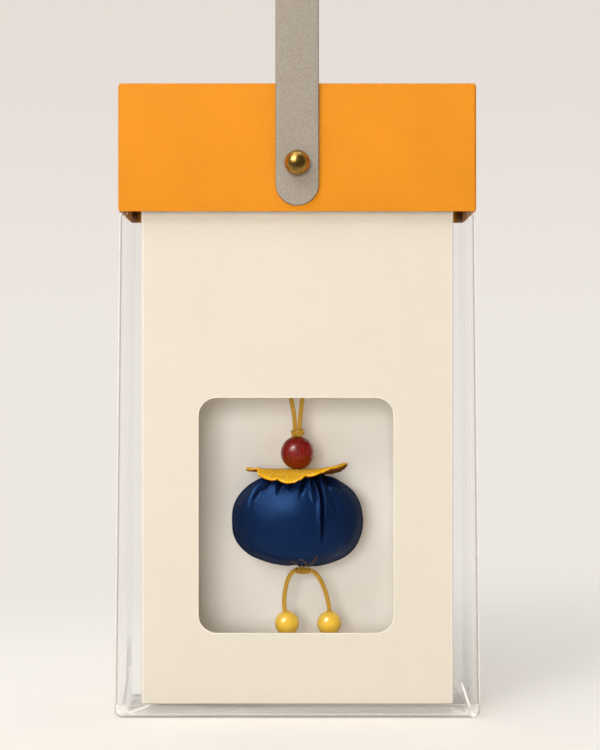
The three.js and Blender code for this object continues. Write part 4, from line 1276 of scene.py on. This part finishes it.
def half_outline(side_inset, foot_inset, radius):
    """The right half of the pouch's front view, from the middle of the foot up to the mouth."""
    neck = POUCH_NECK / 2 - side_inset
    corner, low_level = neck + FOOT_FLARE - radius, foot_inset + radius
    foot = [np.linspace(0, corner - CLOSE_REACH, FOOT_POINTS[0]),
            np.linspace(corner - CLOSE_REACH + CLOSE_STEP, corner, FOOT_POINTS[1])]
    foot = [(x, foot_inset) for x in np.concatenate(foot)]
    arc = [(corner + radius * math.sin(a), low_level - radius * math.cos(a))
           for a in np.linspace(0, math.pi / 2, ARC_POINTS + 1)[1:]]
    foot_top = np.array([corner + radius, low_level])
    shoulder = np.array([neck + SHOULDER_FLARE, SHOULDER_HEIGHT - SHOULDER_SLOPE])
    rises = np.concatenate([np.linspace(0, CLOSE_SHARE, SIDE_POINTS[0])[1:],
                            np.linspace(CLOSE_SHARE, 1, SIDE_POINTS[1])[1:]])
    side = foot_top + np.outer(rises, shoulder - foot_top)
    top = [(neck, SHOULDER_HEIGHT), (neck, (SHOULDER_HEIGHT + POUCH_TALL) / 2), (neck, POUCH_TALL)]
    return np.vstack([foot, arc, side, top])


def whole_outline(side_inset, foot_inset, radius):
    right = half_outline(side_inset, foot_inset, radius)
    return np.vstack([right[::-1], right[1:] * (-1, 1)])


print("pouch, mm:", 2 * half_outline(0, 0, POUCH_CORNER)[:, 0].max(), "wide,", POUCH_TALL, "high")


# %% The panels' shape
EDGE_OFFSETS = np.concatenate([[0, 0.12, 0.25], np.linspace(0.4, 14, 69)])
MIDDLE_POINTS, ROUND_EDGE, WELD_STEP = 35, 0.4, 0.1
SLACK, SLACK_PATCH, SLACK_STARTS, SLACK_ENDS = 0.35, 55, (0, 25), (165, 176)


def weld(gap):
    """1 in the weld round a panel and 0 inside it, by how far in from the edge a point is."""
    return 1 - smoothstep(gap, FLANGE - WELD_STEP, FLANGE + WELD_STEP)


def quads(*corners):
    return np.stack(corners, axis=-1).reshape(-1, 4).tolist()


def panel_piece(name, node, inner, seed):
    """A panel of film, slack between its welds; gives the piece, its points and their gaps to the edge."""
    film_depth = math.copysign(FILM, inner)
    outer, welded_to = inner + film_depth, inner - film_depth
    rows = half_outline(0, 0, POUCH_CORNER)[sum(FOOT_POINTS) - 1:]
    widths, sides = rows[:, :1], rows[:, :1] - EDGE_OFFSETS
    inside = sides[:, -1:] * np.linspace(-1, 1, MIDDLE_POINTS)[1:-1]
    across = np.hstack([-sides, inside, sides[:, ::-1]])
    up = rows[:, 1:] + 0 * across
    slack = SLACK * (1 - np.abs(across / widths) ** 6)
    slack = slack * smoothstep(up, *SLACK_STARTS) * (1 - smoothstep(up, *SLACK_ENDS))
    slack = slack * soft_noise(np.stack([across, 0 * across, up], axis=-1), SLACK_PATCH, seed=seed)
    gap = np.minimum(widths - np.abs(across), up)
    over, under = np.abs(across) - (widths.max() - POUCH_CORNER), POUCH_CORNER - up
    gap = np.where((over > 0) & (under > 0), POUCH_CORNER - np.hypot(over, under), gap)
    turn_in = np.clip(1 - gap / ROUND_EDGE, 0, 1) ** 2
    grids = []
    for face, weld_face in ((inner, welded_to), (outer, outer)):
        depth = face + slack + (weld_face - face) * weld(gap)
        depth += ((outer + welded_to) / 2 - depth) * turn_in
        grids.append(np.stack([across, depth, up], axis=-1).reshape(-1, 3))
    near = np.arange(across.size).reshape(across.shape)
    a, b, c, d = near[:-1, :-1], near[:-1, 1:], near[1:, 1:], near[1:, :-1]
    rim = np.concatenate([near[0], near[1:, -1], near[-1, -2::-1], near[-2:0:-1, 0]])
    after, far = np.roll(rim, -1), near.size
    faces = quads(a, b, c, d) + quads(a + far, d + far, c + far, b + far)
    faces += quads(rim, rim + far, after + far, after)
    points = np.concatenate(grids)
    return new_piece(name, (points, faces), film, "pouch", node, sharp=50), points, np.tile(gap.ravel(), 2)


# %% Make the front panel, with its puckers
# Puckers at the corners, painted on the film: a line (across, up), the strength of its painted
# highlight, or where negative of its painted shade line, and its half width
PUCKERS = [
    ([(56.9, 13.0), (58.5, 8.4), (59.9, 4.2)], 1.0, 0.34), ([(59.9, 3.4), (61.3, 1.1)], 1.0, 0.75),
    ([(54.2, 11.5), (57.0, 6.4), (59.4, 1.8)], -0.5, 0.34), ([(51.7, 3.8), (59.4, 1.1)], -0.45, 0.36),
    ([(57.2, 8.6), (59.2, 3.4)], -0.4, 0.6), ([(57.9, 3.6), (59.7, 1.2)], 0.35, 0.3),
    ([(-58.7, 27.1), (-59.1, 13.2), (-60.1, 7.0), (-60.8, 3.8)], -0.4, 0.34),
    ([(-58.0, 27.0), (-58.1, 18.4)], -0.25, 0.3),
    ([(-54.8, 7.3), (-59.6, 3.0)], -0.45, 0.42), ([(-60.4, 1.7), (-59.8, 0.9)], -0.6, 0.4),
    ([(-50.0, 5.1), (-53.4, 3.6), (-58.3, 1.9), (-59.7, 2.5)], 0.9, 0.3),
    ([(-61.2, 4.0), (-60.2, 2.2)], 0.5, 0.3),
]
WELD_HAZE, BACK_HAZE = 0.4, 0.2


def pucker_marks(across, up):
    """The painted shade lines and the painted highlights of the puckers, at points of the front panel."""
    dark, bright = 0 * across, 0 * across
    for line, strength, width in PUCKERS:
        best = np.min([near_segment(across, up, *ends)[1] for ends in zip(line, line[1:])], axis=0)
        from_start = np.hypot(across - line[0][0], up - line[0][1])
        shown = abs(strength) * smoothstep(from_start, -0.5, 3.5) * np.exp(-(best / width) ** 2)
        if strength > 0:
            bright = np.maximum(bright, shown)
        else:
            dark = np.maximum(dark, shown)
    return dark * (1 - bright), bright


def streak(gap, width):
    """A soft line, 1 in its middle."""
    return np.exp(-(gap / width) ** 2)


front, points, gap = panel_piece("film_front", "pouch_front_panel", -PANEL_INNER, seed=1.3)
up = points[:, 2]
# Painted light on the film: the dark line near the edge is painted shade, the pale lines beside it painted
# highlights
fold = gap - 0.35 - 0.6 * smoothstep(up, 0, 7)
line = (0.45 + 0.3 * smoothstep(up, 0, 7)) * streak(fold, 0.22)
glint = 0.3 * streak(fold + 0.6, 0.25) + 0.2 * streak(fold - 1.4, 0.3) * smoothstep(up, 3, 9)
uneven = 0.8 + 0.5 * soft_noise(points * (1, 0, 1), 1.0, (0.012, 1, 1.3), seed=6.1)
# The foot band is a painted highlight that also paints in light under the box
foot = smoothstep(gap, 0.7, 1.0) * (0.4 - 0.12 * smoothstep(up, 2.2, 3.3))
foot = foot * (1 - smoothstep(up, 4.5, 5.0)) * uneven
# The puckers are painted: dark lines as painted shade, glints as painted highlights
pucker_line, pucker_glint = pucker_marks(points[:, 0], up)
line = np.maximum(line * (1 - pucker_glint), pucker_line)
glint = np.maximum(np.maximum(glint, foot), pucker_glint)
painted(front, points, film_line=line, film_haze=WELD_HAZE * weld(gap),
        film_glint=glint * (1 - 0.8 * np.minimum(1, line * 1.4)))

# %% Make the back panel
back, points, gap = panel_piece("film_back", "pouch_back_panel", PANEL_INNER, seed=7.9)
back_haze = BACK_HAZE * WELD_HAZE * weld(gap) * smoothstep(points[:, 2], 6, 24)
painted(back, points, film_line=0 * gap, film_haze=back_haze, film_glint=0 * gap)

# %% The strip, with its pinched corners
PINCH_DEPTH, PINCH_WIDTH, STRIP_HAZE, STRIP_POINTS = 1.1, 1.0, 0.25, 62
# Creases from the pinch, as (along the outline from the corner, depth) pairs, and how deep each
# is; along is up the side where positive and in under the foot where negative
PINCH_LINES = [
    ((1, -6), (13, 12), 0.7), ((13, 12), (30, 19), 0.45), ((1, -6), (12, -1), 0.65),
    ((-1, -6), (-4.5, 15), 0.95), ((0, -4), (-2.5, 19), 0.65), ((-1, -8), (-13, 0), 1.2),
    ((-2, -10), (-26, -8), 0.8), ((2, 8), (6, 19), 0.5), ((0, -8), (2, -17), 0.9),
]


def pinch(along, depth):
    """How far the film is pressed in near a corner."""
    pressed_in = 0 * depth
    for start, end, strength in PINCH_LINES:
        t, gap = near_segment(along, depth, start, end)
        pressed_in = np.maximum(pressed_in, strength * (1 - t) ** 0.7 * np.exp(-gap / PINCH_WIDTH))
    return PINCH_DEPTH * pressed_in


outer_line = whole_outline(FLANGE, 0, STRIP_CORNER + FILM)
inner_line = whole_outline(FLANGE + FILM, FILM, STRIP_CORNER)
along_line = distances(outer_line)
at_corner = [i for i, (x, z) in enumerate(outer_line) if z < 0.6 and abs(x) > 60]
right_corner, left_corner = along_line[min(at_corner)], along_line[max(at_corner)]
inward = inner_line - outer_line
inward /= np.linalg.norm(inward, axis=1)[:, None]
depths = np.linspace(-PANEL_INNER, PANEL_INNER, STRIP_POINTS)
rings = []
for i, along in enumerate(along_line):
    from_corner = right_corner - along if i < (len(outer_line) + 1) // 2 else along - left_corner
    push = pinch(from_corner, depths)[:, None] * inward[i]
    inside, outside = (np.insert(line[i] + push, 1, depths, axis=1) for line in (inner_line, outer_line))
    rings.append(np.vstack([inside, outside[::-1]]))
strip = new_piece("film_strip", skin(rings, caps=True), film, "pouch", "pouch_gusset", sharp=35)
points = np.vstack(rings)
bare = np.zeros(len(points))
painted(strip, points, film_line=bare, film_haze=bare + STRIP_HAZE, film_glint=bare)

# %% [markdown]
# ## Floor, background and light
# The pack stands on a plain pale floor that runs out into a background of the same tone. The
# background is the world's colour, which only the eye, gloss and glass see. The room in front
# of the pack is darker, as a studio is behind the lamps, so gloss shows depth. A wide lamp
# almost in front fills the forms and isn't seen in gloss. Two lamps on the left and above
# throw the shadows, one more there only makes gloss, and a wide one hangs overhead. The world
# adds an even light.

# %% The world
BACKGROUND, BACKGROUND_HIGH = screen(237, 231, 225), screen(229, 222, 214)
AMBIENT, AMBIENT_COLOUR, DARK_ROOM = 0.33, (1, 0.97, 0.925, 1), 0.15

world = bpy.data.worlds.new("studio")
bpy.context.scene.world = world
world.use_nodes = True
tree = world.node_tree
path = put(tree, "ShaderNodeLightPath").outputs
seen = maths("MAXIMUM", path["Is Glossy Ray"], path["Is Transmission Ray"])
seen = maths("MAXIMUM", path["Is Camera Ray"], seen)
where = put(tree, "ShaderNodeTexCoord").outputs["Generated"]
direction = put(tree, "ShaderNodeSeparateXYZ", {0: where}).outputs
room = ranged(direction["Y"], -0.35, 0.35, DARK_ROOM, 1.0)
in_gloss = maths("MULTIPLY", path["Is Glossy Ray"], maths("SUBTRACT", 1.0, room))
wall = blend_colours(ranged(direction["Z"], 0.0, 0.22, kind="SMOOTHSTEP"), BACKGROUND, BACKGROUND_HIGH)
shown = put(tree, "ShaderNodeBackground", {"Color": wall, "Strength": maths("SUBTRACT", 1.0, in_gloss)})
even = put(tree, "ShaderNodeBackground", {"Color": AMBIENT_COLOUR, "Strength": AMBIENT})
either = put(tree, "ShaderNodeMixShader", {0: seen, 1: even.outputs[0], 2: shown.outputs[0]})
feed(tree.nodes["World Output"], "Surface", either.outputs[0])
print("world", world.name, "lights evenly at", AMBIENT)

# %% The floor
FLOOR_SIZE, FLOOR_LEVEL, FLOOR_LIFT = 12.0, -0.00005, 0.035
FLOOR_TONE, FLOOR_DIM = screen(254, 251, 247), screen(248, 242, 232)

floor_mesh = bpy.data.meshes.new("floor")
corners = [(sx * FLOOR_SIZE / 2, sy * FLOOR_SIZE / 2, FLOOR_LEVEL)
           for sx, sy in ((-1, -1), (1, -1), (1, 1), (-1, 1))]
floor_mesh.from_pydata(corners, [], [(0, 1, 2, 3)])
floor = bpy.data.objects.new("floor", floor_mesh)
bpy.context.scene.collection.objects.link(floor)
pale_floor, tree, shader = new_finish("pale_floor", roughness=0.9, specular_ior_level=0.1,
                                      emission_color=(1, 1, 1, 1))
path = put(tree, "ShaderNodeLightPath").outputs
feed(shader, "Base Color", blend_colours(path["Is Diffuse Ray"], FLOOR_TONE, FLOOR_DIM))
feed(shader, "Emission Strength", maths("MULTIPLY", path["Is Camera Ray"], FLOOR_LIFT))
where = put(tree, "ShaderNodeTexCoord").outputs["Object"]
away = put(tree, "ShaderNodeVectorMath", {0: where}, operation="LENGTH").outputs["Value"]
seen = maths("MAXIMUM", path["Is Camera Ray"], path["Is Transmission Ray"])
far_off = maths("MULTIPLY", ranged(away, 0.18, 0.52, kind="SMOOTHSTEP"), seen)
depth = put(tree, "ShaderNodeSeparateXYZ", {0: where}).outputs["Y"]
room = ranged(depth, -0.25, 0.05, 1 - DARK_ROOM, 0.0)
strength = maths("SUBTRACT", 1.0, maths("MULTIPLY", room, path["Is Glossy Ray"]))
glow = put(tree, "ShaderNodeEmission", {"Color": BACKGROUND, "Strength": strength})
share = maths("MAXIMUM", far_off, path["Is Glossy Ray"])
either = put(tree, "ShaderNodeMixShader", {0: share, 1: shader.outputs[0], 2: glow.outputs[0]})
feed(tree.nodes["Material Output"], "Surface", either.outputs[0])
floor_mesh.materials.append(pale_floor)
print("floor:", FLOOR_SIZE, "m square")


# %% The lamps
LAMP_COLOUR = (1.0, 0.99, 0.97)


def soft_lamp(name, azimuth, elevation, distance, size, power, target=(0, 0, 0.11)):
    """A square lamp that looks at the target; azimuth 0 is in front, and positive is to the left."""
    a, e = math.radians(azimuth), math.radians(elevation)
    back = Vector((-math.sin(a) * math.cos(e), -math.cos(a) * math.cos(e), math.sin(e)))
    lamp = bpy.data.objects.new(name, bpy.data.lights.new(name, "AREA"))
    bpy.context.scene.collection.objects.link(lamp)
    lamp.location = Vector(target) + back * distance
    lamp.rotation_mode = "QUATERNION"
    lamp.rotation_quaternion = (-back).to_track_quat("-Z", "Y")
    lamp.data.shape = "SQUARE"
    lamp.data.size = size
    lamp.data.energy = power
    lamp.data.color = LAMP_COLOUR
    print(f"{name}: {power:.1f} W, {distance} m away")
    return lamp


def watts(share, distance):
    """The power that lights a facing white card at this distance to a share of its own colour."""
    return share * math.pi ** 2 * distance ** 2


front_lamp = soft_lamp("front_lamp", azimuth=7, elevation=6, distance=1.8, size=0.6, power=watts(0.54, 1.8),
                       target=(0, 0, 0.07))
front_lamp.visible_glossy = False
soft_lamp("key_lamp", azimuth=31, elevation=35, distance=1.6, size=0.45, power=watts(0.2, 1.6))
soft_lamp("side_lamp", azimuth=40, elevation=55, distance=1.5, size=0.9, power=watts(0.21, 1.5))
gloss_lamp = soft_lamp("gloss_lamp", azimuth=38, elevation=32, distance=1.5, size=0.8, power=15.0)
gloss_lamp.visible_diffuse = False
soft_lamp("top_lamp", azimuth=0, elevation=90, distance=1.5, size=1.2, power=watts(0.34, 1.5),
          target=(0, 0.35, 0.11))
bpy.context.scene.view_settings.view_transform = "Standard"
